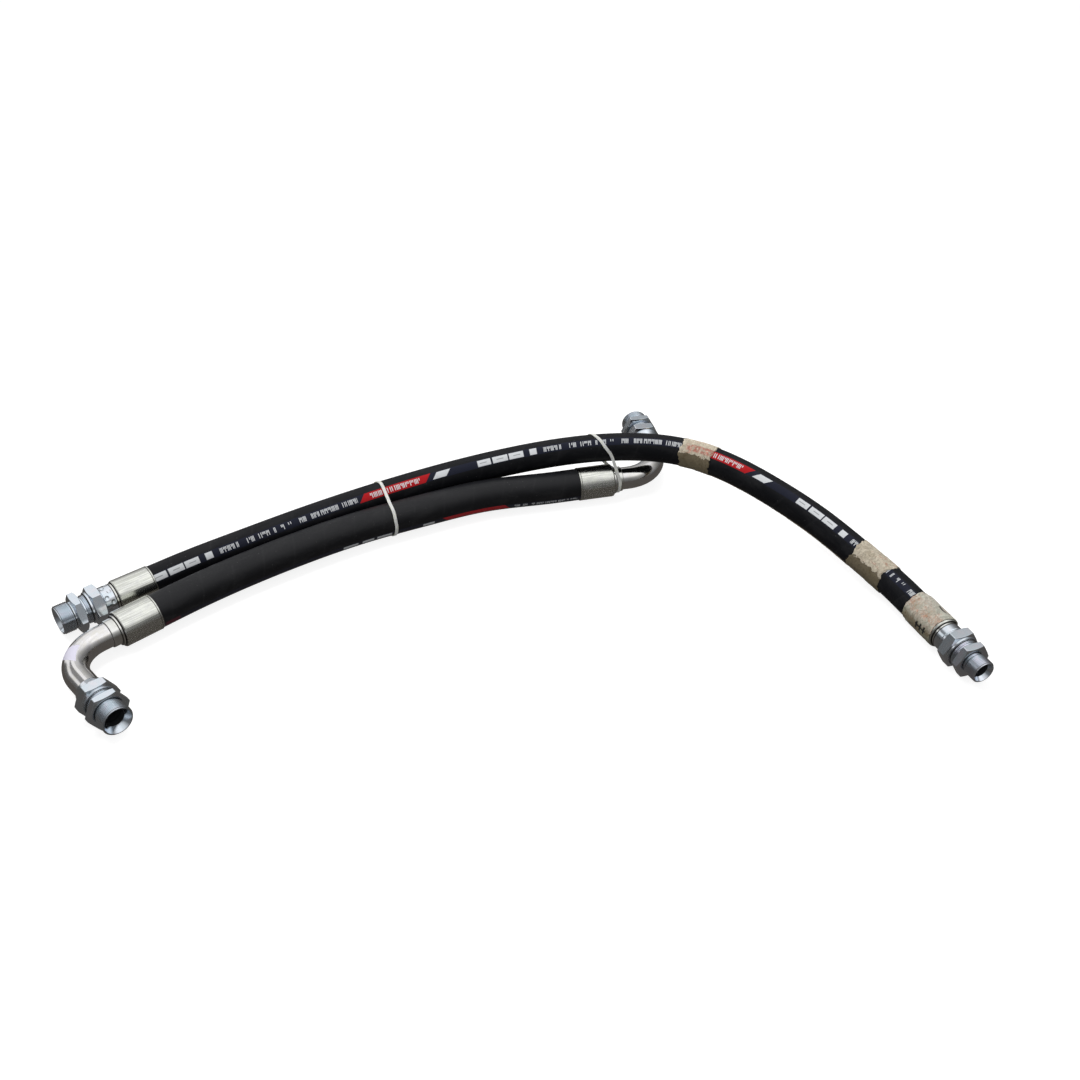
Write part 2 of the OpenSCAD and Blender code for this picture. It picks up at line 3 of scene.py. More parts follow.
import bpy
import numpy as np
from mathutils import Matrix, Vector


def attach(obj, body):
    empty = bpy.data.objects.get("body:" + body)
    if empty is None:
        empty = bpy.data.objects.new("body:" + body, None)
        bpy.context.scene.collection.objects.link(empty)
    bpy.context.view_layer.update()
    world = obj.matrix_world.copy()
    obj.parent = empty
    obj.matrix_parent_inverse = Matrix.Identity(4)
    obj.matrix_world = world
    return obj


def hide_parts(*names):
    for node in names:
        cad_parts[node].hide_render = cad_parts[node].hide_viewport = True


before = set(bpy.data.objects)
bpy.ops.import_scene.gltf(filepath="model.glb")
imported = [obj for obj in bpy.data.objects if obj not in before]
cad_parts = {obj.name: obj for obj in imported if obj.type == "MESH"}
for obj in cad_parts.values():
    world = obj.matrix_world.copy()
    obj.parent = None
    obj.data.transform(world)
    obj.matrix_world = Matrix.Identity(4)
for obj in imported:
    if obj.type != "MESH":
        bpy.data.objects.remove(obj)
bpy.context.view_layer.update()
print("stage: frame loaded")

mm = 0.001
fullTurn = 2 * math.pi
degrees = 180 / math.pi  # in a radian


# Shader maths: a socket that takes the usual operators, and their reflected forms
class Sock:
    def __init__(self, nodes, out):
        self.nodes, self.out = nodes, out

    def op(self, kind, *others, first=None):
        values = [self, *others] if first is None else [first, self, *others]
        return self.nodes.node("Math", dict(enumerate(values)), operation=kind)

    def __add__(self, o): return self.op("ADD", o)
    def __radd__(self, o): return self.op("ADD", o)
    def __sub__(self, o): return self.op("SUBTRACT", o)
    def __rsub__(self, o): return self.op("SUBTRACT", first=o)
    def __mul__(self, o): return self.op("MULTIPLY", o)
    def __rmul__(self, o): return self.op("MULTIPLY", o)
    def __truediv__(self, o): return self.op("DIVIDE", o)
    def __rtruediv__(self, o): return self.op("DIVIDE", first=o)
    def __mod__(self, o): return self.op("FLOORED_MODULO", o)
    def __pow__(self, o): return self.op("POWER", o)
    def __abs__(self): return self.op("ABSOLUTE")
    def __gt__(self, o): return self.op("GREATER_THAN", o)
    def __lt__(self, o): return self.op("LESS_THAN", o)

    def sin(self): return self.op("SINE")
    def floor(self): return self.op("FLOOR")
    def top(self, o): return self.op("MAXIMUM", o)

    # kept within 0 to 1
    def clip(self):
        kept = self.op("ADD", 0)
        kept.out.node.use_clamp = True
        return kept

    # 0 at low, 1 at high, straight between
    def ramp(self, low, high):
        return ((self - low) / (high - low)).clip()

    # 1 between low and high, with soft edges
    def window(self, low, high, soft=0.2):
        return self.ramp(low - soft, low + soft) * (1 - self.ramp(high - soft, high + soft))


# Adds nodes to a tree; an input takes a socket, a number or a colour
class Nodes:
    def __init__(self, tree):
        self.tree = tree
        tree.nodes.clear()

    def feed(self, slot, value):
        if isinstance(value, Sock):
            self.tree.links.new(value.out, slot)
        elif hasattr(value, "__len__") and len(value) == 3 and len(slot.default_value) == 4:
            slot.default_value = (*value, 1)
        else:
            slot.default_value = value

    # any node: inputs by name or number, and so the wanted output
    def node(self, kind, inputs=None, output=0, **settings):
        node = self.tree.nodes.new("ShaderNode" + kind)
        for key, value in settings.items():
            setattr(node, key, value)
        for key, value in (inputs or {}).items():
            self.feed(node.inputs[key], value)
        return Sock(self, node.outputs[output])

    def attribute(self, name):
        return self.node("Attribute", output="Vector", attribute_name=name)

    def split(self, vector):
        first = self.node("SeparateXYZ", {0: vector})
        return [Sock(self, out) for out in first.out.node.outputs]

    def join(self, x, y, z):
        return self.node("CombineXYZ", {0: x, 1: y, 2: z})

    # radians round from x towards y
    def angle(self, x, y):
        return self.node("Math", {0: y, 1: x}, operation="ARCTAN2")

    def noise(self, at, scale, detail=4.0, rough=0.5, distort=0.0):
        return self.node("TexNoise", {"Vector": at, "Scale": scale, "Detail": detail,
                                      "Roughness": rough, "Distortion": distort})

    def cells(self, at, scale):
        return self.node("TexVoronoi", {"Vector": at, "Scale": scale}, feature="F1")

    def mix(self, amount, a, b):
        return self.node("Mix", {0: amount, 6: a, 7: b}, output=2, data_type="RGBA")

    # straight lines through (position, value) pairs, all within 0 to 1
    def curve(self, value, stops):
        curve = self.node("ValToRGB", {0: value})
        elements = curve.out.node.color_ramp.elements
        while len(elements) < len(stops):
            elements.new(0.5)
        for element, (at, level) in zip(elements, stops):
            element.position, element.color = at, (level, level, level, 1)
        return curve


class Material(Nodes):
    def __init__(self, name, slot):
        self.data = bpy.data.materials.new(name)
        self.data.use_nodes = True
        super().__init__(self.data.node_tree)
        self.slot = slot
        self.shader = self.tree.nodes.new("ShaderNodeBsdfPrincipled")
        self.out = self.tree.nodes.new("ShaderNodeOutputMaterial")
        self.tree.links.new(self.shader.outputs[0], self.out.inputs[0])

    def finish(self, color, rough, metal=0.0, height=None, depth=0.1, **more):
        values = {"Base Color": color, "Roughness": rough, "Metallic": metal, **more}
        if height is not None:
            relief = {"Height": height, "Distance": depth * mm, "Strength": 1.0}
            values["Normal"] = self.node("Bump", relief, output="Normal")
        for key, value in values.items():
            self.feed(self.shader.inputs[key.replace("_", " ")], value)
        return self


# Places: each gives, for distances in mm along itself, its centre and the
# directions called down and left; a local point is (down, left, along)
def heading(angle):
    a = math.radians(angle)
    return np.array([math.cos(a), math.sin(a), 0.0])


def unit(v):
    return v / np.linalg.norm(v, axis=-1, keepdims=True)


# An end, straight or with a square bend to its left after a lead
class End:
    def __init__(self, mouth, angle, lead=math.inf, bend=1):
        self.mouth, self.lead, self.bend = np.array(mouth, float), lead, bend
        self.ahead, self.aside = heading(angle), heading(angle + 90)

    def frames(self, s):
        s, bend = np.asarray(s, float)[:, None], self.bend
        turn = np.clip((s - self.lead) / bend, 0, math.pi / 2)
        before = np.minimum(s, self.lead) + bend * np.sin(turn)
        after = np.maximum(s - self.lead - bend * math.pi / 2, 0) + bend * (1 - np.cos(turn))
        centre = self.mouth + before * self.ahead + after * self.aside
        ahead = np.cos(turn) * self.ahead + np.sin(turn) * self.aside
        down = np.array([0, 0, -1.0]) + 0 * ahead
        return centre, down, np.cross(ahead, down)


# A smooth line through the points that leaves both mouths along their axes
class Route:
    def __init__(self, points, first, last, inside):
        p = np.array(points, float)
        n = len(p)
        h = np.linalg.norm(np.diff(p, axis=0), axis=1)
        m, b = np.zeros((n, n)), np.zeros((n, 3))
        m[0, 0] = m[-1, -1] = 1
        b[0], b[-1] = first, last
        for i in range(1, n - 1):
            m[i, i - 1], m[i, i], m[i, i + 1] = 1 / h[i - 1], 2 / h[i - 1] + 2 / h[i], 1 / h[i]
            b[i] = 3 * ((p[i] - p[i - 1]) / h[i - 1] ** 2 + (p[i + 1] - p[i]) / h[i] ** 2)
        d = np.linalg.solve(m, b)
        line = [p[:1] - inside * np.array(first)]
        for i in range(n - 1):
            u = (np.arange(int(h[i])) / int(h[i]))[:, None]
            line.append((2 * u**3 - 3 * u**2 + 1) * p[i] + (u**3 - 2 * u**2 + u) * h[i] * d[i]
                        + (3 * u**2 - 2 * u**3) * p[i + 1] + (u**3 - u**2) * h[i] * d[i + 1])
        line += [p[-1:], p[-1:] + inside * np.array(last)]
        self.line = np.vstack(line)
        self.at = np.r_[0, np.cumsum(np.linalg.norm(np.diff(self.line, axis=0), axis=1))] - inside
        self.length = self.at[-1] - inside

    def centre(self, s):
        return np.stack([np.interp(s, self.at, self.line[:, k]) for k in range(3)], axis=1)

    def frames(self, s):
        s = np.asarray(s, float)
        near = np.clip(s, self.at[0] + 1.5, self.at[-1] - 1.5)
        ahead = unit(self.centre(near + 1.5) - self.centre(near - 1.5))
        left = unit(np.cross([0, 0, 1.0], ahead))
        return self.centre(s), np.cross(left, ahead), left

    # the distance along the line at which it comes closest to a point
    def reach(self, point):
        return self.at[np.linalg.norm(self.line - np.array(point, float), axis=1).argmin()]


# One mesh from several skins; a skin is a grid of rows, each a loop round the
# place, as arrays of radius, angle and distance
class Mesh:
    def __init__(self, name):
        self.name, self.points, self.local, self.faces = name, [], [], []

    def grid(self, world, local, rows, cols, wrap=True, loop=False):
        base = sum(len(points) for points in self.points)
        self.points.append(world.reshape(-1, 3))
        self.local.append(local.reshape(-1, 3))
        i, j = np.meshgrid(np.arange(rows if loop else rows - 1), np.arange(cols if wrap else cols - 1),
                           indexing="ij")
        i2, j2 = (i + 1) % rows, (j + 1) % cols
        quads = np.stack([i * cols + j, i * cols + j2, i2 * cols + j2, i2 * cols + j], axis=-1)
        self.faces.append(quads.reshape(-1, 4) + base)

    def skin(self, place, r, s, angles, wrap=True, loop=False):
        r, s = np.broadcast_arrays(np.asarray(r, float), np.asarray(s, float))
        centre, down, left = place.frames(s.ravel())
        turn = np.broadcast_to(angles, r.shape).ravel()
        x, y = r.ravel() * np.cos(turn), r.ravel() * np.sin(turn)
        world = centre + x[:, None] * down + y[:, None] * left
        self.grid(world, np.stack([x, y, s.ravel()], axis=1), *r.shape, wrap=wrap, loop=loop)

    # a wall between an outer and an inner radius, shut at both ends
    def wall(self, place, outer, inner, s, angles, wrap=True):
        shape = (len(s), len(angles))
        outer, inner, s = (np.broadcast_to(v, shape) for v in (outer, inner, s))
        r, s = np.concatenate([outer, inner[::-1]]), np.concatenate([s, s[::-1]])
        self.skin(place, r, s, angles, wrap, loop=True)

    def build(self, material, body="hoses", nodes=(), weighted=True):
        data = bpy.data.meshes.new(self.name)
        points = np.vstack(self.points) * mm
        faces = np.vstack(self.faces)
        data.vertices.add(len(points))
        data.vertices.foreach_set("co", points.ravel())
        data.loops.add(faces.size)
        data.loops.foreach_set("vertex_index", faces.ravel().astype(np.int32))
        data.polygons.add(len(faces))
        data.polygons.foreach_set("loop_start", (np.arange(len(faces)) * 4).astype(np.int32))
        data.polygons.foreach_set("use_smooth", np.ones(len(faces), bool))
        data.update(calc_edges=True)
        data.validate()
        spot = data.attributes.new("spot", "FLOAT_VECTOR", "POINT")
        spot.data.foreach_set("vector", np.vstack(self.local).ravel())
        data.materials.append(material.data)
        piece = bpy.data.objects.new(self.name, data)
        bpy.context.scene.collection.objects.link(piece)
        if weighted:
            mod = piece.modifiers.new("normals", "WEIGHTED_NORMAL")
            mod.weight = 60
        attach(piece, body)
        if nodes:
            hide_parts(*nodes)
        return piece


# Corners of a profile, shape (points, angles, 2), rounded to short curves
def soften(profile, size, loop=True, steps=4):
    p = np.array(profile, float)
    ends = []
    for shift in (1, -1):
        edge = np.roll(p, shift, axis=0) - p
        length = np.linalg.norm(edge, axis=-1, keepdims=True)
        ends.append(p + edge * np.minimum(size, 0.45 * length) / np.maximum(length, 1e-9))
    rows = []
    for t in np.linspace(0, 1, steps):
        rows.append((1 - t) ** 2 * ends[0] + 2 * t * (1 - t) * p + t**2 * ends[1])
    out = np.stack(rows, axis=1).reshape(-1, *p.shape[1:])
    return out if loop else np.concatenate([p[:1], out[steps:-steps], p[-1:]])


def around(count):
    return np.arange(count) * fullTurn / count


# A profile given as (radius, distance) pairs, turned with its corners rounded;
# either of the two may be a function of the angle
def turned(mesh, place, points, angles, size=0.3, loop=True):
    def spread(value):
        return value(angles) if callable(value) else np.full(len(angles), float(value))

    p = np.stack([np.stack([spread(r), spread(s)], axis=1) for r, s in points])
    p = soften(p, size, loop)
    mesh.skin(place, p[..., 0], p[..., 1], angles, loop=loop)


# Distance from the axis to a hexagon with one flat side down
def hexagon(af, blunt=0.1395):
    def radius(a):
        turn = (a + fullTurn / 12) % (fullTurn / 6) - fullTurn / 12
        return np.minimum(af / 2 / np.cos(turn), af / math.sqrt(3) - blunt)
    return radius


# The points of a hexagon whose ends are turned down to a radius; lean is how
# far each turned face goes along the axis for its height
def hexPoints(af, end, start, length, lean=0.42):
    r = hexagon(af)

    def turnedDown(a):
        return lean * np.maximum(r(a) - end, 0)

    return [(end, start), (r, lambda a: start + turnedDown(a)),
            (r, lambda a: start + length - turnedDown(a)), (end, start + length)]


# Even steps, and closer ones beside each corner of a hexagon
cornerSteps = np.array([-3.2, -2.2, -1.3, -0.6, 0.6, 1.3, 2.2, 3.2])
hexAngles = [around(144)] + [np.radians(30 + 60 * k + cornerSteps) for k in range(6)]
hexAngles = np.sort(np.concatenate(hexAngles) % fullTurn)

# Helical threads, cut into a bar or, where hollow, into a hole's wall
thread = dict(pitch=2.309, depth=1.35, cols=96, steps=12, runOut=1.2)


def threadSkin(mesh, place, crest, start, end, hollow=False):
    pitch, depth, runOut = thread["pitch"], thread["depth"], thread["runOut"]
    angles = around(thread["cols"])
    s = np.linspace(start, end, int((end - start) / pitch * thread["steps"]) + 1)[:, None]
    phase = (s / pitch - angles[None] / fullTurn) % 1
    wave = np.clip(abs(phase - 0.5) * 2 * 1.25 - 0.125, 0, 1)
    wave = wave * wave * (3 - 2 * wave)
    fade = np.clip((s - start) / runOut, 0, 1) * np.clip((end - s) / runOut, 0, 1)
    if hollow:
        r = crest + depth * wave * fade
        mesh.skin(place, r[::-1], np.broadcast_to(s, r.shape)[::-1], angles)
    else:
        mesh.skin(place, crest - depth + depth * (1 - wave) * fade, s, angles)


print("stage: helpers ready")

# Distances along an end, in mm from its ferrule's mouth, and the hoses' radii
fit = dict(ferrule=55, lip=6, wall=1.4, collar=(55.4, 58.2), socketEnd=70.2, tubeStart=61.2, seat=75,
           bendStart=82, bend=55, corner=137, outlet=94, tubeTail=31, straight=45)
hoseR = dict(a=21.5, b=24.5)
inside = fit["ferrule"] - fit["lip"]
collarBack, collarFront = fit["collar"]
rim = fit["socketEnd"]

# Metals: light and warm mix in clouds under dull grime; lathe, bands and grit say
# how strong the turning marks, the crimp's bands and the fine scratches are, bore
# is the radius inside which the metal is painted near-black as shade, and painted
# shade with grime darkens the joints between pairs of distances
zinc = dict(light=(0.64, 0.71, 0.77), dull=(0.34, 0.37, 0.39), rough=0.14)
# painted shade with grime just in front of the nut and in the groove behind the front thread
adapterShadeAndGrime = ((19, 20.6), (42, 43.6))
# painted shade with grime in the ferrule's lip, round the collar and at the socket's rim
insertShadeAndGrime = ((50, collarBack + 0.5), (collarFront - 0.3, collarFront + 0.5), (rim - 0.2, rim + 0.6))
tubeLook = dict(slot="elbow_steel", light=(0.73, 0.72, 0.73), warm=(0.68, 0.66, 0.60),
                dull=(0.50, 0.48, 0.45), rough=0.13, lathe=0.15, grit=0.4, bore=13.7)
bendPatch = {"from": (118, 0.07), "to": (148.4, -0.203), "angles": (168, 262),
             "color": (0.70, 0.68, 0.80), "rough": 0.5}
metals = {
    "zincNut": dict(zinc, slot="nut_zinc", warm=(0.74, 0.71, 0.75)),
    "zincAdapter": dict(zinc, slot="adapter_zinc", warm=(0.70, 0.71, 0.78), bore=13.1, jointShadeAndGrime=adapterShadeAndGrime),
    "zincReducer": dict(zinc, slot="adapter_zinc", warm=(0.74, 0.68, 0.76), bore=10.6, jointShadeAndGrime=adapterShadeAndGrime),
    "turnedSteel": dict(slot="insert_steel", light=(0.72, 0.72, 0.70), warm=(0.62, 0.62, 0.58),
                        dull=(0.30, 0.29, 0.25), rough=0.16, jointShadeAndGrime=insertShadeAndGrime),
    "ferruleSteel": dict(slot="ferrule_steel", light=(0.74, 0.75, 0.70), warm=(0.62, 0.62, 0.62),
                         dull=(0.42, 0.43, 0.38), rough=0.22, lathe=0.05, bands=1.0, grit=0.1,
                         # painted shade with grime at the ferrule's two ends and in the groove near its mouth
                         jointShadeAndGrime=((-1, 0.25), (2.4, 3.2), (54.5, 56))),
    "tubeSteel_b_left": dict(tubeLook, patch=bendPatch),
    "tubeSteel_b_right": tubeLook,
}
# colours of the painted shade with grime in the joints, and of the painted shade inside bores
shadeAndGrimeColor, hole = (0.035, 0.032, 0.024), (0.01, 0.01, 0.011)


# How much of a plain patch covers the outside of a bend, its two ends aslant
def patchCover(m, patch, x, y, s):
    angle = m.angle(x, y) * degrees % 360
    start, end = [(s - (angle - 180) * slope).ramp(at - 0.4, at + 0.4)
                  for at, slope in (patch["from"], patch["to"])]
    return start * (1 - end) * angle.window(*patch["angles"], 1.5)


def metalMaterial(name, slot, light, warm, dull, rough, lathe=1.0, bands=0.0, bore=0.0, jointShadeAndGrime=(),
                  grit=1.0, patch=None):
    m = Material(name, slot)
    spot = m.attribute("spot")
    x, y, s = m.split(spot)
    radius = (x * x + y * y) ** 0.5
    cloud = m.noise(spot, 0.11, 5, 0.6)
    fine = m.noise(spot, 1.9, 3, 0.6)
    # turning marks run round the piece: fine on its sides, finer on its end faces
    marks = m.noise(m.join(radius * 0.3, radius * 0.2, s), 5.5, 2, 0.7) * lathe
    streak = m.noise(m.join(x * 0.5, y * 0.5, s * 0.02), 1.1, 1.5, 0.6) * bands
    grime = m.noise(spot, 0.35, 6, 0.7, 0.6).ramp(0.60, 0.74)
    # painted shade: inside the bore radius the metal is painted near-black, rougher and non-metal, standing
    # in for the shade in the hole
    dark = 1 - radius.ramp(bore, bore + 0.15)
    color = m.mix(cloud.ramp(0.40, 0.70) * 0.7, light, warm)
    color = m.mix(grime * 0.22, color, dull)
    color = m.mix(streak.ramp(0.42, 0.62) * 0.5, color, dull)
    # painted shade with grime darkens the metal between each pair of distances
    for low, high in jointShadeAndGrime:
        color = m.mix(s.window(low, high, 0.25) * 0.85, color, shadeAndGrimeColor)
    color = m.mix(dark * 0.97, color, hole)
    scratch = m.noise(m.join(x * 0.4 + s * 0.2, y * 3.0, s * 0.3), 3.2, 2, 0.8).ramp(0.62, 0.66)
    roughness = (rough + grime * 0.14 + (fine - 0.5) * 0.06 + scratch * 0.06 + dark * 0.3).clip()
    if patch:
        cover = patchCover(m, patch, x, y, s)
        color = m.mix(cover, color, patch["color"])
        roughness = roughness + cover * (patch["rough"] - roughness)
        dark = dark.top(cover * 0.9)
    height = marks * 0.5 + fine * 0.25 * grit + scratch * 0.2 * grit + streak
    return m.finish(color, roughness, 1 - dark, height, 0.012)


metal = {name: metalMaterial(name, **look) for name, look in metals.items()}

# Rubber: black with dust and rubs, and what is printed on it
rubber = dict(black=(0.006, 0.0063, 0.008), dust=(0.055, 0.055, 0.057), speck=(0.2, 0.2, 0.2), rough=0.42)
ink = dict(navy=(0.010, 0.012, 0.025), white=(0.66, 0.68, 0.70), red=(0.42, 0.010, 0.014))


def rubberMaterial(name, wrap, gloss, marksOf):
    m = Material(name, "hose_rubber")
    spot = m.attribute("spot")
    x, y, s = m.split(spot)
    angle = m.angle(x, y) * degrees % 360
    # the wrap of the cure cloth shows as a shallow spiral
    turn = (s / wrap + angle / 360) % 1
    lip = turn.window(0.0, 0.06, 0.03) * m.noise(m.join(s * 0.02, angle * 0.01, 0), 3, 2).ramp(0.3, 0.6)
    weave = m.noise(m.join(s * 0.9, x * 0.9, y * 0.9), 1.6, 3, 0.7)
    dust = m.noise(m.join(x * 0.03, y * 0.03, s * 0.012), 1.4, 7, 0.65, 0.4).ramp(0.48, 0.75)
    specks = 1 - m.cells(spot, 0.22).ramp(0.05, 0.16)
    specks = specks * m.noise(spot, 0.09, 3).ramp(0.55, 0.62)
    rubs = m.noise(m.join(x * 0.25, y * 0.25, s * 0.02), 1.2, 5, 0.7).ramp(0.62, 0.70)
    color = m.mix(dust * 0.25, rubber["black"], rubber["dust"])
    color = m.mix(rubs * 0.18, color, rubber["dust"])
    color = m.mix(lip * 0.10, color, rubber["dust"])
    color = m.mix(specks * 0.35, color, rubber["speck"])
    wear = m.noise(m.join(s * 0.15, x, y), 0.9, 5, 0.75).ramp(0.26, 0.38)
    paint = None
    for inkName, mask in marksOf(m, s, angle):
        amount = mask * wear if inkName != "navy" else mask * 0.85
        color = m.mix(amount, color, ink[inkName])
        paint = amount if paint is None else paint.top(amount)
    rough = rubber["rough"] + dust * 0.18 + weave * 0.08 - paint * 0.1
    height = weave * 0.35 + lip * 0.5 + paint * 0.25 + rubs * 0.15
    return m.finish(color, rough, 0, height, 0.12, Specular_IOR_Level=gloss)


# Plain upright dashes where lettering would be: three places to a cell, each
# left out at times or cut to half its height, and a few cells empty
def dashes(m, u, v, pitch, tall):
    cell, p, half = (u / pitch).floor(), u % pitch, tall / 2
    chance = [m.node("TexWhiteNoise", {"W": cell + 17.3 * k}, output="Value", noise_dimensions="1D")
              for k in range(4)]
    row = []
    for k in range(3):
        at = 0.4 + k * pitch * 0.3
        cut = 1 - (chance[k] > 0.6) * v.ramp(-0.1, 0.1)
        dash = p.window(at, at + pitch * 0.19, 0.15) * v.window(-half, half, 0.15)
        row.append(dash * cut * (chance[k] > 0.12))
    return (sum(row).clip() * (chance[3] > 0.22)).clip()


# Hose A's print: a navy band with blocks, a red bar and rows of dashes, in
# distances from the start of each repeat; the line winds slowly round the hose
printA = dict(middle=228.8, drift=0.0232, half=6.2, starts=(20.3, 537.4, 1059.4), lead=26, slant=0.9,
              blocks=((-23.5, -2.5), (0.7, 24.8), (27, 50), (60, 71)), bar=(424, 446), blockHalf=5.0,
              cutPitch=27.0, cut=(7, 18), cutHalf=0.7, cutsEnd=55, red=(305, 413), tall=7.8,
              strokes=(82, 297), pitch=5.8, letters=(318, 402), letterPitch=7.4)


def marksA(m, s, angle):
    p = printA
    v = (angle - p["middle"] + s * p["drift"]) * (hoseR["a"] / degrees)
    a, b, c = p["starts"]
    lead, half, tall = p["lead"], p["half"], p["blockHalf"]
    u = s - a - (s > (b - lead)) * (b - a) - (s > (c - lead)) * (c - b)
    slant = u + v * p["slant"]
    band = v.window(-half, half, 0.25)
    red = slant.window(*p["red"], 0.3) * v.window(-half, half, 0.2)
    white = sum(u.window(*block, 0.25) for block in p["blocks"])
    white = (white + slant.window(*p["bar"], 0.25)) * v.window(-tall, tall, 0.2)
    # inside each block a plain, darker dash
    thin = p["cutHalf"]
    cut = (u % p["cutPitch"]).window(*p["cut"], 0.3) * v.window(-thin, thin, 0.2)
    cut = cut * (u < p["cutsEnd"])
    rows = dashes(m, u, v, p["pitch"], p["tall"]) * u.window(*p["strokes"], 0.5)
    letters = dashes(m, u + 2, v, p["letterPitch"], p["tall"]) * u.window(*p["letters"], 0.5)
    return [("navy", band), ("red", red), ("white", (white * (1 - cut * 0.5) + rows + letters).clip())]


# Hose B's print, a single run of the same kind; old is a worn red trace
printB = dict(middle=296.0, half=5.5, slant=0.9, blocks=((285, 309), (316, 335), (340, 364), (414, 432)),
              blockHalf=3.0, red=(450, 554), old=(2, 24), strokes=(562, 662), pitch=5.8, tall=6.4)


def marksB(m, s, angle):
    p = printB
    v = (angle - p["middle"]) * (hoseR["b"] / degrees)
    half, tall = p["half"], p["blockHalf"]
    across = v.window(-half, half, 0.2)
    slant = s - v * p["slant"]
    red = slant.window(*p["red"], 0.3) * across
    red = (red * 0.8 + s.window(*p["old"], 2) * across * 0.15).clip()
    white = sum(s.window(*block, 0.25) for block in p["blocks"]) * v.window(-tall, tall, 0.2)
    rows = dashes(m, s, v, p["pitch"], p["tall"]) * s.window(*p["strokes"], 0.5)
    return [("navy", v.window(-half, half, 0.3)), ("red", red), ("white", (white + rows).clip() * 0.7)]


def plainRubber(name, slot):
    m = Material(name, slot)
    mottle = m.noise(m.node("TexCoord", output="Object"), 420, 4, 0.6)
    color = m.mix(mottle, (0.010, 0.010, 0.010), (0.035, 0.035, 0.035))
    return m.finish(color, 0.5 + mottle * 0.2, 0, mottle, 0.05)


# Wires of the hoses' braid, crossing both ways
braid = dict(dark=(0.22, 0.18, 0.10), light=(0.66, 0.60, 0.44), radius=18.5, lean=1.38, pitch=0.9)


def braidMaterial():
    m = Material("braidWire", "wire_braid")
    x, y, s = m.split(m.attribute("spot"))
    across, along = m.angle(x, y) * braid["radius"], s * braid["lean"]
    over, under = (across + along) * braid["pitch"], (across - along) * braid["pitch"]
    weave = (abs(over.sin()) + abs(under.sin())) * 0.5
    return m.finish(m.mix(weave, braid["dark"], braid["light"]), 0.35, 1, weave, 0.2)


coverRubber = {"a": rubberMaterial("coverRubberA", 62.0, 0.14, marksA),
               "b": rubberMaterial("coverRubberB", 48.0, 0.30, marksB)}
linerRubber = plainRubber("linerRubber", "liner_rubber")
sealRubber = plainRubber("sealRubber", "seal_rubber")
braidWire = braidMaterial()

# Paper tape: creased, stained and torn, with painted shade along its creases. A wrap
# is darker brown on its lower side and lets the red print show through; the sleeve has
# rust stains, pen strokes and painted shade on its lower side
tapeLook = dict(sand=(0.66, 0.59, 0.47), pale=(0.63, 0.60, 0.52), brown=(0.24, 0.18, 0.10),
                pink=(0.60, 0.24, 0.17), lowSideBrown=(0.09, 0.068, 0.030), tear=(0.02, 0.018, 0.015),
                # under is the colour of the painted shade on the sleeve's lower side
                print=(0.50, 0.10, 0.08), rust=(0.58, 0.29, 0.17), under=(0.17, 0.13, 0.07),
                mould=(0.42, 0.50, 0.40), pen=(0.012, 0.012, 0.014), speck=(0.05, 0.04, 0.03),
                through=(844, 952), squash=0.375)


# Plain strokes of a marker pen: a hook, a short row of bars and a line across
def penStrokes(m, s, angle, flat):
    wave = (m.noise(flat, 0.12, 2) - 0.5) * 10
    bend = (s - 33) * (s - 33) * 0.11
    hook = s.window(25, 41, 0.4) * (angle - 162 + bend + wave).window(-4, 4, 1.2)
    bars = ((s + wave * 0.3) % 7.5).window(0.6, 3.6, 0.4) * s.window(20, 44, 0.4)
    bars = bars * (angle - 267 - wave).window(-13, 13, 1)
    cross = s.window(22, 43, 0.4) * (angle - 262 - s * 0.12 + wave).window(-3.4, 3.4, 1)
    return ((hook + bars + cross) * m.noise(flat, 0.8, 3).ramp(0.2, 0.34)).clip()


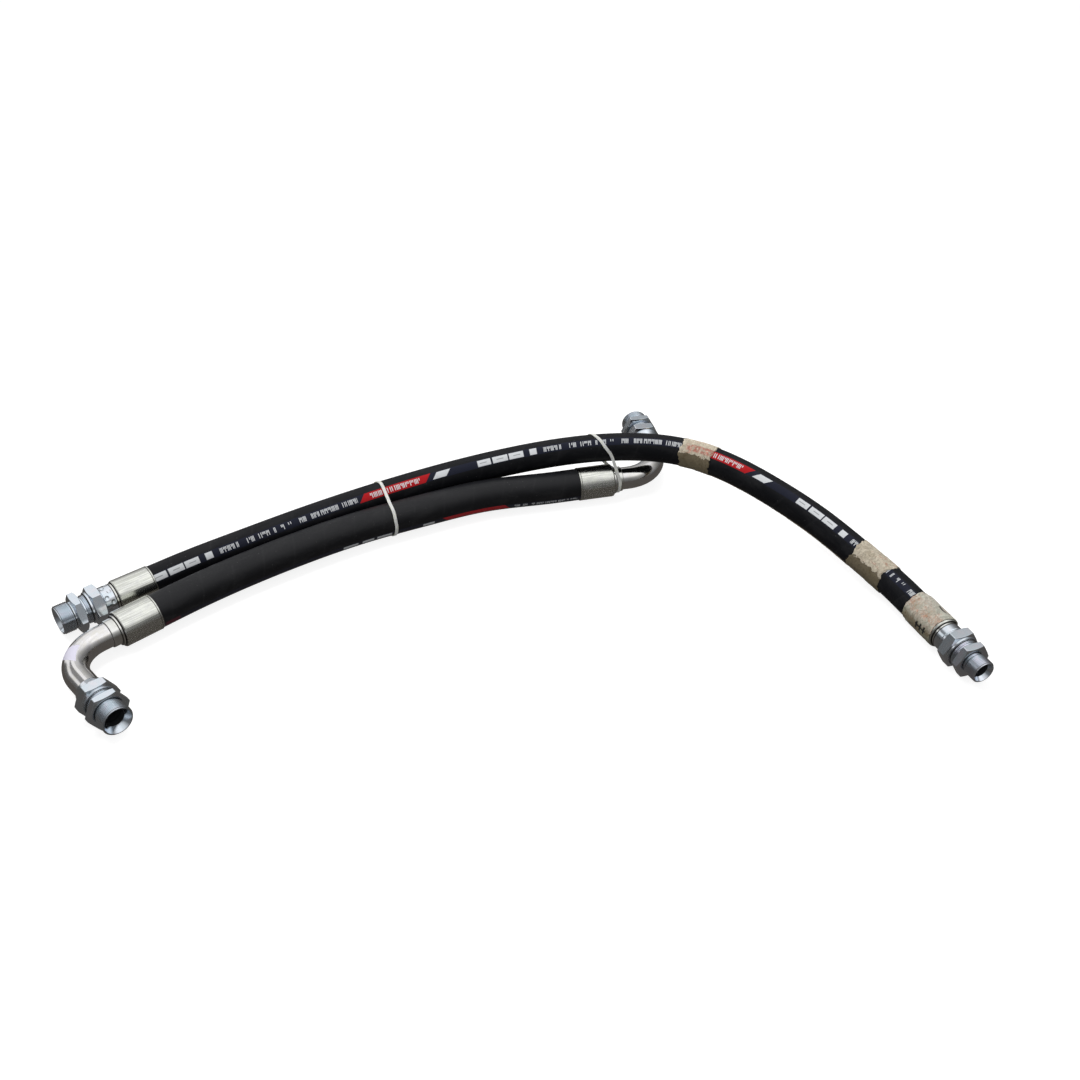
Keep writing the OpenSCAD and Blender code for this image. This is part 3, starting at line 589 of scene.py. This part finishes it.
def tapeMaterial(name, kind):
    m = Material(name, "paper_tape")
    look = tapeLook
    x, y, s = m.split(m.attribute("spot"))
    angle = m.angle(x, y) * degrees % 360
    flat = m.join(s, angle * look["squash"], 0)
    crepe = m.noise(m.join(s * 1.6, angle * 0.12, x * 0.05), 1.3, 3, 0.7)
    folds = m.noise(m.join(s * 0.35, angle * 0.05, 0), 1.0, 5, 0.6, 1.2)
    crease = 1 - abs(folds - 0.5).ramp(0.0, 0.045)
    blot = m.noise(flat, 0.10, 5, 0.6, 0.8)
    smear = m.noise(m.join(s * 0.10, angle * 0.06, 3), 1.1, 6, 0.65, 0.5)
    base = look["pale"] if kind == "sleeve" else look["sand"]
    color = m.mix(blot.ramp(0.50, 0.74) * 0.6, base, look["brown"])
    if kind == "wrap":
        edge = angle + (m.noise(flat, 0.16, 5, 0.65) - 0.5) * 50
        # the wrap is darker brown on its lower side, behind a dark torn edge
        low = edge.ramp(236, 241)
        tear = 1 - abs(edge - 238).ramp(1.0, 2.4)
        color = m.mix(low * 0.85, color, look["lowSideBrown"])
        color = m.mix(tear * 0.8, color, look["tear"])
        crease = (crease + tear * 0.8).clip()
        line = angle - printA["middle"] + s * printA["drift"]
        through = s.window(*look["through"], 3) * line.window(-15, 15, 2)
        color = m.mix(through * m.noise(flat, 0.25, 4).ramp(0.36, 0.58) * 0.75, color, look["print"])
        smear = smear + through * 0.04 - low * 0.1
    if kind == "strip":
        color = m.mix(0.6, color, look["brown"])
    color = m.mix(smear.ramp(0.56, 0.68) * 0.6, color, look["pink"])
    # painted shade: darker brown along the creases
    color = m.mix(crease * 0.35, color, look["brown"])
    if kind == "sleeve":
        cracks = 1 - abs(m.noise(flat, 0.16, 5, 0.7, 1.5) - 0.5).ramp(0.0, 0.035)
        rust = m.noise(flat, 0.13, 6, 0.7, 0.6).ramp(0.46, 0.62) * 0.7 + cracks * 0.8
        color = m.mix((rust * angle.window(196, 240, 12)).clip() * 0.8, color, look["rust"])
        # painted shade: the sleeve's lower side is painted darker brown
        under = (angle + (m.noise(flat, 0.14, 4) - 0.5) * 40).ramp(238, 262)
        color = m.mix(under * 0.85, color, look["under"])
        color = m.mix(m.noise(flat, 0.07, 3).ramp(0.5, 0.6) * 0.25, color, look["mould"])
        color = m.mix(penStrokes(m, s, angle, flat) * 0.95, color, look["pen"])
    specks = (1 - m.cells(flat, 0.55).ramp(0.04, 0.12)) * m.noise(flat, 0.2, 2).ramp(0.5, 0.6)
    color = m.mix(specks * 0.6, color, look["speck"])
    height = crepe * 0.35 + crease * 0.9 + folds * 0.8
    return m.finish(color, 0.62 + blot * 0.2 - crease * 0.1, 0, height, 0.4, Specular_IOR_Level=0.2)


tapePaper = {kind: tapeMaterial("tape" + kind.capitalize(), kind) for kind in ("wrap", "strip", "sleeve")}

# Natural nylon, milky, with the ribs of the straps
nylonLook = dict(white=(0.80, 0.81, 0.76), haze=(0.60, 0.60, 0.54), rough=0.28, ribs=4.2, ribHalf=1.7)


def nylonMaterial():
    m = Material("nylon", "tie_nylon")
    spot = m.attribute("spot")
    x, y, s = m.split(spot)
    ribHalf = nylonLook["ribHalf"]
    ribs = (s * nylonLook["ribs"]).sin().ramp(-0.2, 0.6) * x.window(-ribHalf, ribHalf, 0.15)
    haze = m.noise(spot, 0.5, 4, 0.6)
    color = m.mix(haze * 0.35, nylonLook["white"], nylonLook["haze"])
    return m.finish(color, nylonLook["rough"] + haze * 0.15, 0, ribs + haze * 0.2, 0.08,
                    Subsurface_Weight=0.35, Subsurface_Radius=(0.004, 0.004, 0.003),
                    Subsurface_Scale=1.0, Transmission_Weight=0.12)


nylon = nylonMaterial()
print("stage: materials ready")

# Places of the four ends: the ferrule's mouth and the way it faces
mouths = {
    "a_left": ((-508, -67, 25), 219), "a_right": ((559, -129, 25), -67),
    "b_left": ((-487, -135, 26), 222.5), "b_right": ((97, 168, 26), 13),
}
places, seats = {}, {}
for end, (mouth, angle) in mouths.items():
    ahead, aside = heading(angle), heading(angle + 90)
    if end[0] == "a":
        places[end] = End(mouth, angle)
        seats[end] = End(mouth + fit["seat"] * ahead, angle)
    else:
        places[end] = End(mouth, angle, fit["bendStart"], fit["bend"])
        seats[end] = End(mouth + fit["corner"] * ahead + fit["outlet"] * aside, angle + 90)

# Hoses: radii of the layers, and the points between their straight ends
hoses = {
    "a": dict(braid=19.86, liner=18.66, bore=16.5, free=[
        (-398, 6, 31), (-323, 53, 34), (-245, 98, 37), (-163, 137, 42), (-81, 166, 50), (3, 186, 60),
        (89, 197, 70), (175, 199, 75.5), (255, 185, 76), (327, 149, 70), (389, 101, 59), (445, 47, 47),
        (492, -13, 36)]),
    "b": dict(braid=22.06, liner=18.66, bore=16.5, free=[
        (-388, -50, 26), (-305, 8.5, 26.5), (-221, 59, 26.5), (-133, 101, 26.5), (-41, 138, 26.5)]),
}
routes = {}
for name, hose in hoses.items():
    (m1, a1), (m2, a2) = mouths[name + "_left"], mouths[name + "_right"]
    m1, m2 = np.array(m1, float), np.array(m2, float)
    run = fit["straight"]
    points = [m1, m1 - run * heading(a1), *hose["free"], m2 - run * heading(a2), m2]
    route = routes[name] = Route(points, -heading(a1), heading(a2), inside)
    print("hose", name, "free length", round(route.length, 1))
    for layer, outer, inner, look, step, cols in (
        ("cover", hoseR[name], hose["braid"], coverRubber[name], 5, 72),
        ("braid", hose["braid"] - 0.02, hose["liner"], braidWire, 12, 40),
        ("liner", hose["liner"] - 0.02, hose["bore"], linerRubber, 12, 40),
    ):
        s = np.linspace(-inside, route.length + inside, int((route.length + 2 * inside) / step))[:, None]
        mesh = Mesh(f"hose_{name}_{layer}_skin")
        mesh.wall(route, outer, inner, s, around(cols))
        piece = mesh.build(look, nodes=[f"hose_{name}_{layer}"], weighted=False)
        if layer == "cover":
            2 * outer * mm
print("stage: hoses built")

# Inserts and bent tubes: a serrated tail inside the hose, then what shows in
# front of the ferrule; lock is the neck that the ferrule's lip closes on
insert = dict(bore=12.75, tip=14.1, valley=15.0, crest=15.9, barbs=5, first=9, pitch=8, lock=17.2,
              collar=dict(a=20.3, b=22), neck=16.6, socket=19.3)
bentTube = dict(outer=17.5, bore=13.5, stub=8)

# Ferrules: a crimp leaves eight long, slightly flattened faces
crimp = dict(faces=8, flat=0.09, first=212, ridge=0.07, wide=0.7)


def ferrule(end):
    mouth, lock, length = hoseR[end[0]], insert["lock"], fit["ferrule"]
    outer = mouth + fit["wall"]
    half = math.pi / crimp["faces"]

    def pressed(a):
        t = (a - math.radians(crimp["first"])) % (2 * half) - half
        away = (half - np.abs(t)) * outer / crimp["wide"]
        flat = crimp["flat"] * outer * (1 - np.cos(half) / np.cos(t))
        return outer - 0.1 - flat + crimp["ridge"] * np.exp(-away**2)

    mesh = Mesh(end + "_ferrule_shell")
    turned(mesh, places[end], [
        (mouth, 0), (outer - 0.9, 0), (outer - 0.1, 0.9), (outer - 0.1, 2.4), (outer - 0.4, 2.8),
        (outer - 0.4, 3.2), (pressed, 3.7), (pressed, length - 5), (outer - 0.1, length - 3),
        (outer - 0.2, length - 1.6), (outer - 1.3, length), (lock, length), (lock, inside), (mouth, inside),
    ], around(512), 0.5)
    mesh.build(metal["ferruleSteel"], nodes=[end + "_ferrule"])


def tail(end):
    valley, crest, lock, collar = insert["valley"], insert["crest"], insert["lock"], insert["collar"][end[0]]
    points = [(insert["bore"], 3), (insert["tip"], 3)]
    for k in range(insert["barbs"]):
        at = insert["first"] + insert["pitch"] * k
        points += [(valley, at), (crest, at + 6.4), (crest, at + 7.9)]
    return points + [(crest, inside), (lock, inside), (lock, collarBack), (collar, collarBack),
                     (collar, collarFront)]


# Flange, cone and the groove of its seal
def noseProfile(bore):
    return [(20.3, 0), (20.3, 4), (18.4, 4), (17.45, 5.6), (15.4, 5.6), (15.4, 7.8), (16.2, 7.8),
            (14.59, 10.6), (bore, 10.6)]


angles = around(128)


def turnedSteel(node, place, points, size=0.35):
    mesh = Mesh(node + "_turned")
    turned(mesh, place, points, angles, size)
    mesh.build(metal["turnedSteel"], nodes=[node])


for end in ("a_left", "a_right"):
    neck, seat = insert["neck"], fit["seat"]
    nose = [(r, s + seat) for r, s in noseProfile(insert["bore"])]
    turnedSteel(end + "_insert", places[end], tail(end) + [(neck, collarFront), (neck, seat)] + nose)
    ferrule(end)
for end in ("b_left", "b_right"):
    start, bendStart = fit["tubeStart"], fit["bendStart"]
    bendEnd = bendStart + fit["bend"] * math.pi / 2
    outer, bore, socket = bentTube["outer"], bentTube["bore"], insert["socket"]
    turnedSteel(end + "_insert", places[end], tail(end) + [
        (socket, collarFront), (socket, rim - 0.8), (socket - 1, rim), (outer, rim), (outer, start),
        (insert["bore"], start),
    ])
    mesh = Mesh(end + "_elbow_tube")
    s = np.concatenate([np.linspace(start, bendStart, 8), np.linspace(bendStart + 2, bendEnd - 2, 56),
                        np.linspace(bendEnd, bendEnd + fit["tubeTail"], 10)])[:, None]
    mesh.wall(places[end], outer - 0.02, bore, s, angles)
    mesh.build(metal["tubeSteel_" + end], nodes=[end + "_elbow"], weighted=False)
    stub = [(bore, -bentTube["stub"]), (outer, -bentTube["stub"]), (outer, 0)]
    turnedSteel(end + "_nose", seats[end], stub + noseProfile(bore), 0.3)
    ferrule(end)
print("stage: ferrules, inserts and elbows built")

# Swivel nuts: hose A's have a round skirt, with two rows of ball marks or a
# groove, and hose B's taper to the back
nut = dict(af=50, hex=(0, 16.5), front=19, turned=23, bore=21.1, root=22.5, thread=(0.7, 17.4),
           skirt=20.5, skirtLen=16.5, neck=16.85, dents=8, ball=6, dent=1.0, cols=240, taperNeck=17.75)
nutR, nutBore, nutRoot = nut["turned"], nut["bore"], nut["root"]
nutFront = [(nutR, nut["front"]), (nutR - 0.9, nut["front"]), (nutBore, 18), (nutBore, 17.4), (nutRoot, 17.3),
            (nutRoot, 0.6), (nutBore, 0.5), (nutBore, -0.3)]
nutFront = hexPoints(nut["af"], nutR, *nut["hex"]) + nutFront


def nutThread(mesh, end):
    threadSkin(mesh, seats[end], nutBore, *nut["thread"], hollow=True)
    mesh.build(metal["zincNut"], end + "_nut", [end + "_nut"])


def skirtNut(end, dented):
    neck, skirt, back, ball = nut["neck"], nut["skirt"], -nut["skirtLen"], nut["ball"]
    mesh = Mesh(end + "_nut_body")
    turned(mesh, seats[end], [(skirt - 0.05, -1.5)] + nutFront
           + [(neck, -0.3), (neck, back + 0.6), (neck + 0.6, back)], hexAngles, 0.35, loop=False)
    cols = around(nut["cols"])
    edge = [back, back, back + 0.15, back + 0.6]
    s = np.concatenate([edge, np.arange(back + 1.1, -1.4, 0.3), [-1.45]])[:, None]
    r = np.full((len(s), len(cols)), float(skirt))
    r[0], r[1], r[2], r[3] = neck + 0.6, skirt - 1.1, skirt - 0.6, skirt - 0.12
    if dented:
        body = (np.arange(len(s)) >= len(edge))[:, None]
        for row in (0, 1):
            for i in range(nut["dents"]):
                at = (i + row / 2) * fullTurn / nut["dents"]
                across = ((cols - at + math.pi) % fullTurn - math.pi) * skirt
                far = across[None] ** 2 + (s - back * (0.3 + 0.4 * row)) ** 2
                cap = np.sqrt(np.maximum(ball**2 - far, 0)) - (ball - nut["dent"])
                r -= np.maximum(cap, 0) * body
    else:
        far = np.abs(s - back * 0.3)
        r -= np.maximum(np.sqrt(np.maximum(1 - far**2, 0)) - 0.5, 0)
    mesh.skin(seats[end], r, s, cols)
    nutThread(mesh, end)


def taperedNut(end):
    neck = nut["taperNeck"]
    mesh = Mesh(end + "_nut_body")
    turned(mesh, seats[end], [(neck, -13), (neck + 1.05, -13), (neck + 1.85, -12.2), (nutR, -2)]
           + nutFront + [(neck, -0.3)], hexAngles, 0.35)
    nutThread(mesh, end)


# Adapters: threads are real spirals over a plain core
screw = dict(core=19.455, crest=20.95, relief=18.95, start=5, hexStart=28, hexLen=12.5, hexEnd=40.5,
             turned=0.46, end=62, seat=18.17, cone=30)


def adapter(end, af=50, crest=20.95, bore=13):
    place, seat, start, last = seats[end], screw["seat"], screw["start"], screw["end"]
    core, relief, hexStart, hexEnd = screw["core"], screw["relief"], screw["hexStart"], screw["hexEnd"]
    outer, deep, mouth = crest - 1.5, crest - 2, crest - 2.5
    slope = math.tan(math.radians(screw["cone"]))
    mesh = Mesh(end + "_adapter_body")
    turned(mesh, place, [
        (core - 0.1, start), (core, start + 1), (core, 25.5), (relief, 25.5), (relief, hexStart),
        *hexPoints(af, screw["turned"] * af, hexStart, screw["hexLen"]),
        (deep, hexEnd), (deep, 43), (outer, 43), (outer, last - 0.6), (outer - 0.25, last), (mouth, last),
        (bore, last - (mouth - bore) / slope), (bore, start + (seat - bore) / slope), (seat, start),
    ], hexAngles, 0.3)
    threadSkin(mesh, place, screw["crest"], 5.2, 25.6)
    threadSkin(mesh, place, crest, 43.0, 61.8)
    mesh.build(metal["zincAdapter" if af == 50 else "zincReducer"], end + "_adapter", [end + "_adapter"])


skirtNut("a_left", True)
skirtNut("a_right", False)
taperedNut("b_left")
taperedNut("b_right")
for end in ("a_left", "b_left", "b_right"):
    adapter(end)
adapter("a_right", 46, 16.62, 10.5)
print("stage: nuts and adapters built")

# Tapes: each wrap as the number of one of hose A's points, the distance past it
# and the width; gap is between the hose and the paper
tapes = dict(mid=(8, 3, 52), end=(12, 5, 62), gap=0.1, thick=0.5, creases=0.42, tear=3.4, cols=220,
             strip=(-44, 62), lap=2)


def waves(seed, s, a, count=14, low=0.05, high=0.6):
    rng = np.random.default_rng(seed)
    total = np.zeros(np.broadcast(s, a).shape)
    for _ in range(count):
        f, k = rng.uniform(low, high), rng.integers(0, 9)
        total += np.sin(f * s * rng.choice([-1, 1]) + k * a + rng.uniform(0, fullTurn)) * rng.uniform(0.4, 1)
    return total / math.sqrt(count)


def torn(seed, a, size):
    rng = np.random.default_rng(seed)
    out = np.zeros_like(a)
    for k in (2, 3, 5, 9, 14, 23):
        saw = np.abs(((k * a + rng.uniform(0, fullTurn)) / fullTurn) % 1 - 0.5) * 2 - 0.5
        out += saw * rng.uniform(0.5, 1) / k ** 0.45
    return out / np.abs(out).max() * size


# Creased paper from low to high on hose A; an open strip has straight ends
def paper(name, seed, low, high, angles, strip=False):
    radius, thick, cols = hoseR["a"] + tapes["gap"], tapes["thick"], len(angles)
    tear = 0 if strip else tapes["tear"]
    rows = int((high - low) / 0.9)
    t = np.linspace(0, 1, rows)[:, None]
    a = angles[None]
    start, end = low + torn(seed, a, tear), high + torn(seed + 1, a, tear)
    s = start + (end - start) * t
    crease = 1 - np.minimum(np.abs(waves(seed, s, a)) / 0.22, 1)
    puff = 0.5 + 0.5 * np.tanh(waves(seed + 5, s, a, 10, 0.02, 0.25))
    step = 0.35 / (1 + np.exp(-(s - low - (high - low) * 0.55 - 3 * np.sin(a * 2 + seed)) / 0.25))
    outer = radius + thick + tapes["creases"] * (0.55 * crease + 0.6 * puff) + step
    edge = np.minimum(t, 1 - t) * (high - low)
    outer = np.where(edge < 0.2, radius + thick * 0.6, outer)
    mesh = Mesh("tape_" + name + "_paper")
    mesh.wall(routes["a"], outer, radius, s, angles, wrap=not strip)
    if strip:
        # close the two long edges
        for col, order in ((0, -1), (cols - 1, 1)):
            up = np.arange(rows) * cols + col
            back = np.arange(2 * rows - 1, rows - 1, -1) * cols + col
            quads = np.stack([up[:-1], up[1:], back[1:], back[:-1]], axis=1)
            mesh.faces.append(quads[:, ::order])
    mesh.build(tapePaper["strip" if strip else "wrap"], nodes=["tape_" + name], weighted=False)


span = {}
for name, seed in (("mid", 11), ("end", 23)):
    index, past, width = tapes[name]
    low = routes["a"].reach(hoses["a"]["free"][index]) + past
    span[name] = (low, low + width)
    paper("wrap_" + name, seed, *span[name], around(tapes["cols"]))
stripAngles = np.radians(np.linspace(*tapes["strip"], 60))
paper("strip", 37, span["mid"][1] - tapes["lap"], span["end"][0] + tapes["lap"], stripAngles, strip=True)

# Tape over the right ferrule: it follows the step from hose to ferrule
sleeve = dict(start=-8, short=3, step=0.8, cols=240, wrinkle=0.26, puff=0.24, seam=0.3, front=1.4, rear=2.2)
mesh = Mesh("tape_ferrule_paper")
cols = around(sleeve["cols"])
sleeveEnd = fit["ferrule"] - sleeve["short"]
s = np.concatenate([np.arange(sleeve["start"], sleeveEnd, sleeve["step"]), [sleeveEnd]])[:, None]
a = cols[None]
base = hoseR["a"] + tapes["gap"] + fit["wall"] / (1 + np.exp(-(s + 1.6) / 0.5))
crease = 1 - np.minimum(np.abs(waves(51, s * 0.8, a)) / 0.2, 1)
puff = 0.5 + 0.5 * np.tanh(waves(57, s, a, 10, 0.02, 0.2))
lift = sleeve["wrinkle"] * crease + sleeve["puff"] * puff
seam = sleeve["seam"] / (1 + np.exp(-(np.sin(a - 2.2 + 0.03 * s)) / 0.02))
outer = base + tapes["thick"] + lift * np.clip((sleeveEnd - s) / 2, 0.3, 1) + seam
front = torn(61, a, sleeve["front"]) * np.clip((s - sleeveEnd + 14) / 14, 0, 1)
rear = torn(63, a, sleeve["rear"]) * np.clip((8 - s) / 16, 0, 1)
outer[0], outer[-1] = outer[0] - 0.3, outer[-1] - 0.25
mesh.wall(places["a_right"], outer, base + 0.03, s + front + rear, cols)
mesh.build(tapePaper["sleeve"], nodes=["tape_ferrule"], weighted=False)
print("stage: tapes built")

# Cable ties: each goes round two bars, low and high, as the bar, the number of
# its point to count from, and (distance, angle) pairs round it
ties = {
    "left": dict(
        low=("b", 2, [(42, -90), (42, -60), (41, -30), (41, 0), (40, 30), (39, 60), (38, 90), (38, 112)]),
        high=("a", 2, [(44, 112), (44, 150), (45, 180), (46, 210), (48, 240), (51, 275)])),
    "right": dict(
        low=("socket", 0, [(64, -20), (63, 5), (62, 35), (61.5, 65), (61.5, 95), (61.5, 125), (61.5, 155),
                           (61.5, 180), (62, 198)]),
        high=("a", 6, [(27, 150), (27, 180), (28, 210), (31, 240), (37, 270), (45, 300), (52, 330),
                       (60, 358)])),
}
strap = dict(width=4.8, thick=1.2, corner=0.28, gap=0.35, socketGap=0.5, head=(9, 8, 6),
             end=(2.4, 2.2, 2.9, 4.1))


def tieSpots(bar, point, spots):
    if bar == "socket":
        place, start, radius = places["b_right"], 0.0, insert["socket"] + strap["socketGap"]
    else:
        place, radius = routes[bar], hoseR[bar] + strap["gap"]
        start = place.reach(hoses[bar]["free"][point])
    count = np.arange(len(spots))
    steps = np.linspace(0, len(spots) - 1, len(spots) * 6)
    d, turn = (np.interp(steps, count, column) for column in np.array(spots, float).T)
    a = np.radians(turn - 90)
    centre, down, left = place.frames(start + d)
    out = np.cos(a)[:, None] * down + np.sin(a)[:, None] * left
    return centre + radius * out, out


def between(p, q, n, m, count=10):
    t = (np.arange(1, count) / count)[:, None]
    return p + (q - p) * t, n + (m - n) * t


# The head, a tapered box round the strap, with the cut end of the strap beside it
def tieHead(mesh, mid, ahead, out):
    ahead = unit(ahead)
    out = unit(out - out.dot(ahead) * ahead)
    side = np.cross(out, ahead)
    length, width, height = strap["head"]
    stick, endHalf, endLow, endHigh = strap["end"]
    turns = np.radians(np.arange(24) * 15 + 7.5)
    for start, last, half, low, high in (
        (-length / 2, length / 2, width / 2, -0.1, height - 1.2),
        (length / 2 - 0.4, length / 2 + stick, endHalf, endLow, endHigh),
    ):
        rows = [(start, 0.0), (start, 0.75), (start + 0.5, 1.0), (last - 0.5, 1.0), (last, 0.75), (last, 0.0)]
        world, local = [], []
        for at, size in rows:
            for cx, cy in zip(np.cos(turns), np.sin(turns)):
                k = size / max(abs(cx), abs(cy)) ** 0.86
                px, py = cx * k * half, (low + high) / 2 + cy * k * (high - low) / 2
                world.append(mid + at * ahead + px * side + py * out)
                local.append((px + 9, py, at))
        mesh.grid(np.array(world), np.array(local), len(rows), len(turns))


for side, tie in ties.items():
    lowP, lowN = tieSpots(*tie["low"])
    highP, highN = tieSpots(*tie["high"])
    backP, backN = between(lowP[-1], highP[0], lowN[-1], highN[0])
    frontP, frontN = between(highP[-1], lowP[0], highN[-1], lowN[0])
    line, out = np.vstack([lowP, backP, highP, frontP]), np.vstack([lowN, backN, highN, frontN])
    for _ in range(3):
        line, out = (0.5 * v + 0.25 * (np.roll(v, 1, 0) + np.roll(v, -1, 0)) for v in (line, out))
    run = unit(np.roll(line, -1, 0) - np.roll(line, 1, 0))
    wide = unit(np.cross(out, run))
    out = np.cross(run, wide)
    far = np.cumsum(np.linalg.norm(line - np.roll(line, 1, 0), axis=1))
    w, t, c = strap["width"] / 2, strap["thick"], strap["corner"]
    ring = [(-w + c, 0), (w - c, 0), (w, c), (w, t - c), (w - c, t), (-w + c, t), (-w, t - c), (-w, c)]
    world = np.stack([line + x * wide + y * out for x, y in ring], axis=1)
    local = [np.stack([np.full(len(far), x), np.full(len(far), y), far], axis=1) for x, y in ring]
    mesh = Mesh("cable_tie_" + side + "_strap")
    mesh.grid(world, np.stack(local, axis=1), len(line), len(ring), loop=True)
    tieHead(mesh, 0.5 * (lowP[-1] + highP[0]), highP[0] - lowP[-1], lowN[-1] + highN[0])
    mesh.build(nylon, nodes=["cable_tie_" + side])
print("stage: ties built")

for node in ("a_left_seal", "a_right_seal", "b_left_seal", "b_right_seal"):
    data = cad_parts[node].data
    data.materials.clear()
    data.materials.append(sealRubber.data)

# Floor, backdrop and light; in reflections the floor glows as painted light, dim
# near the hoses as a painted shadow and paler further out
studio = dict(white=(1.0, 1.0, 1.0), soft=0.45, key=38, rim=18, fill=4, bright=1.5, mottle=0.2,
              floor=(0.38, 0.38, 0.38), floorSeen=(0.90, 0.90, 0.90), floorSpot=(0.5, 0.5, 0.5),
              floorReflectShadow=(0.10, 0.092, 0.085), floorFar=(0.3, 0.3, 0.3), floorCover=0.6, floorGlow=1.4)
# What metal reflects: panels and dark cloths by azimuth in degrees (0 = away
# from the camera, right of it positive), each with a few stops of brightness by
# the sine of the elevation
skies = {
    "front": (None, ((0, 0.08), (0.45, 0.12), (0.8, 0.5), (1, 0.72))),
    "right": ((64, 148, 14), ((0, 0.08), (0.4, 0.25), (0.55, 0.4), (0.7, 0.85), (1, 0.8))),
    "back": ((5, 64, 10), ((0, 0.06), (0.4, 0.18), (0.6, 0.35), (0.75, 0.7), (0.9, 0.93), (1, 0.76))),
    "middle": ((-19, 5, 3), ((0, 0.12), (0.3, 0.28), (0.6, 0.46), (0.75, 0.82), (1, 0.76))),
    "left": ((-41, -19, 1), ((0, 0.16), (0.1, 0.4), (0.2, 0.26), (0.5, 0.7), (1, 0.78))),
    "sheet": ((-59, -41, 0.7), ((0, 0.7), (0.52, 0.7), (0.55, 0.17), (0.68, 0.17), (0.78, 0.7), (1, 0.76))),
    "side": ((-92, -59, 2), ((0, 0.06), (0.28, 0.14), (0.35, 0.65), (0.52, 0.65), (0.57, 0.18),
                             (0.7, 0.18), (0.85, 0.6), (1, 0.76))),
}


# Whether a ray comes from the camera, from a reflection or through something
def rays(nodes):
    kinds = ("Camera", "Glossy", "Transmission")
    return [nodes.node("LightPath", output=f"Is {kind} Ray") for kind in kinds]


scene = bpy.context.scene
world = bpy.data.worlds.new("studio")
scene.world = world
world.use_nodes = True
sky = Nodes(world.node_tree)
direction = sky.node("TexCoord", output="Generated")
way = sky.split(direction)
seen, shine, clear = rays(sky)
turn = sky.angle(way[1], way[0]) * degrees
panels = None
for arc, stops in skies.values():
    level = sky.curve(way[2], stops)
    panels = level if arc is None else panels + (level - panels) * turn.window(*arc)
mottle = 1 + (sky.noise(direction, 5.0, 2) - 0.5) * studio["mottle"]
panels = panels * studio["bright"] * mottle
shown = seen.top(clear)
strength = shown + (1 - shown) * (shine * panels + (1 - shine) * studio["soft"])
output = sky.tree.nodes.new("ShaderNodeOutputWorld")
sky.feed(output.inputs[0], sky.node("Background", {"Color": studio["white"], "Strength": strength}))

floor = bpy.data.objects.new("floor", bpy.data.meshes.new("floor"))
floor.data.from_pydata([(-9, -9, 0), (9, -9, 0), (9, 9, 0), (-9, 9, 0)], [], [(0, 1, 2, 3)])
scene.collection.objects.link(floor)
floor.location.z = -0.0003
look = Material("floorLook", "floor")
seen, shine, clear = rays(look)
spot = look.node("TexCoord", output="Object")
pale = look.mix(seen, studio["floor"], studio["floorSeen"])
pale = look.mix(look.noise(spot, 30, 4, 0.6) * 0.05, pale, studio["floorSpot"])
look.finish(pale, 0.8, Specular_IOR_Level=0.1)
x, y, z = look.split(spot)
outward = ((x * x + y * y) ** 0.5).ramp(1.0, 4.0)
# painted reflection: metal sees the floor glowing dim near the hoses as a painted shadow, and paler further
# out
dim = look.mix(outward, studio["floorReflectShadow"], studio["floorFar"])
glow = look.node("Emission", {"Color": look.mix(shine, studio["white"], dim),
                              "Strength": shine + seen * studio["floorGlow"]})
cover = seen * studio["floorCover"] + shine
shade = look.node("MixShader", {0: cover, 1: Sock(look, look.shader.outputs[0]), 2: glow})
look.feed(look.out.inputs[0], shade)
floor.data.materials.append(look.data)


def lamp(name, at, size, power, aim=(0, 0, 0)):
    data = bpy.data.lights.new(name, "AREA")
    data.shape, data.size, data.size_y, data.energy = "RECTANGLE", *size, power
    piece = bpy.data.objects.new(name, data)
    piece.location = at
    piece.rotation_euler = (Vector(aim) - Vector(at)).to_track_quat("-Z", "Y").to_euler()
    scene.collection.objects.link(piece)
    piece.visible_glossy = False


lamp("key", (-0.5, 0.5, 2.2), (2.4, 0.8), studio["key"])
lamp("rim", (0.4, 2.4, 1.2), (2.6, 0.5), studio["rim"])
lamp("fill", (0.6, -2.2, 1.6), (1.6, 1.0), studio["fill"])

camera = bpy.data.objects.new("camera", bpy.data.cameras.new("camera"))
camera.data.lens, camera.data.sensor_width = 42.33, 36
camera.location = (0.039, -1.452, 1.160)
camera.rotation_euler = (math.radians(52.5), 0, 0)
scene.collection.objects.link(camera)
scene.camera = camera
scene.view_settings.view_transform = "Standard"
print("stage: studio ready")
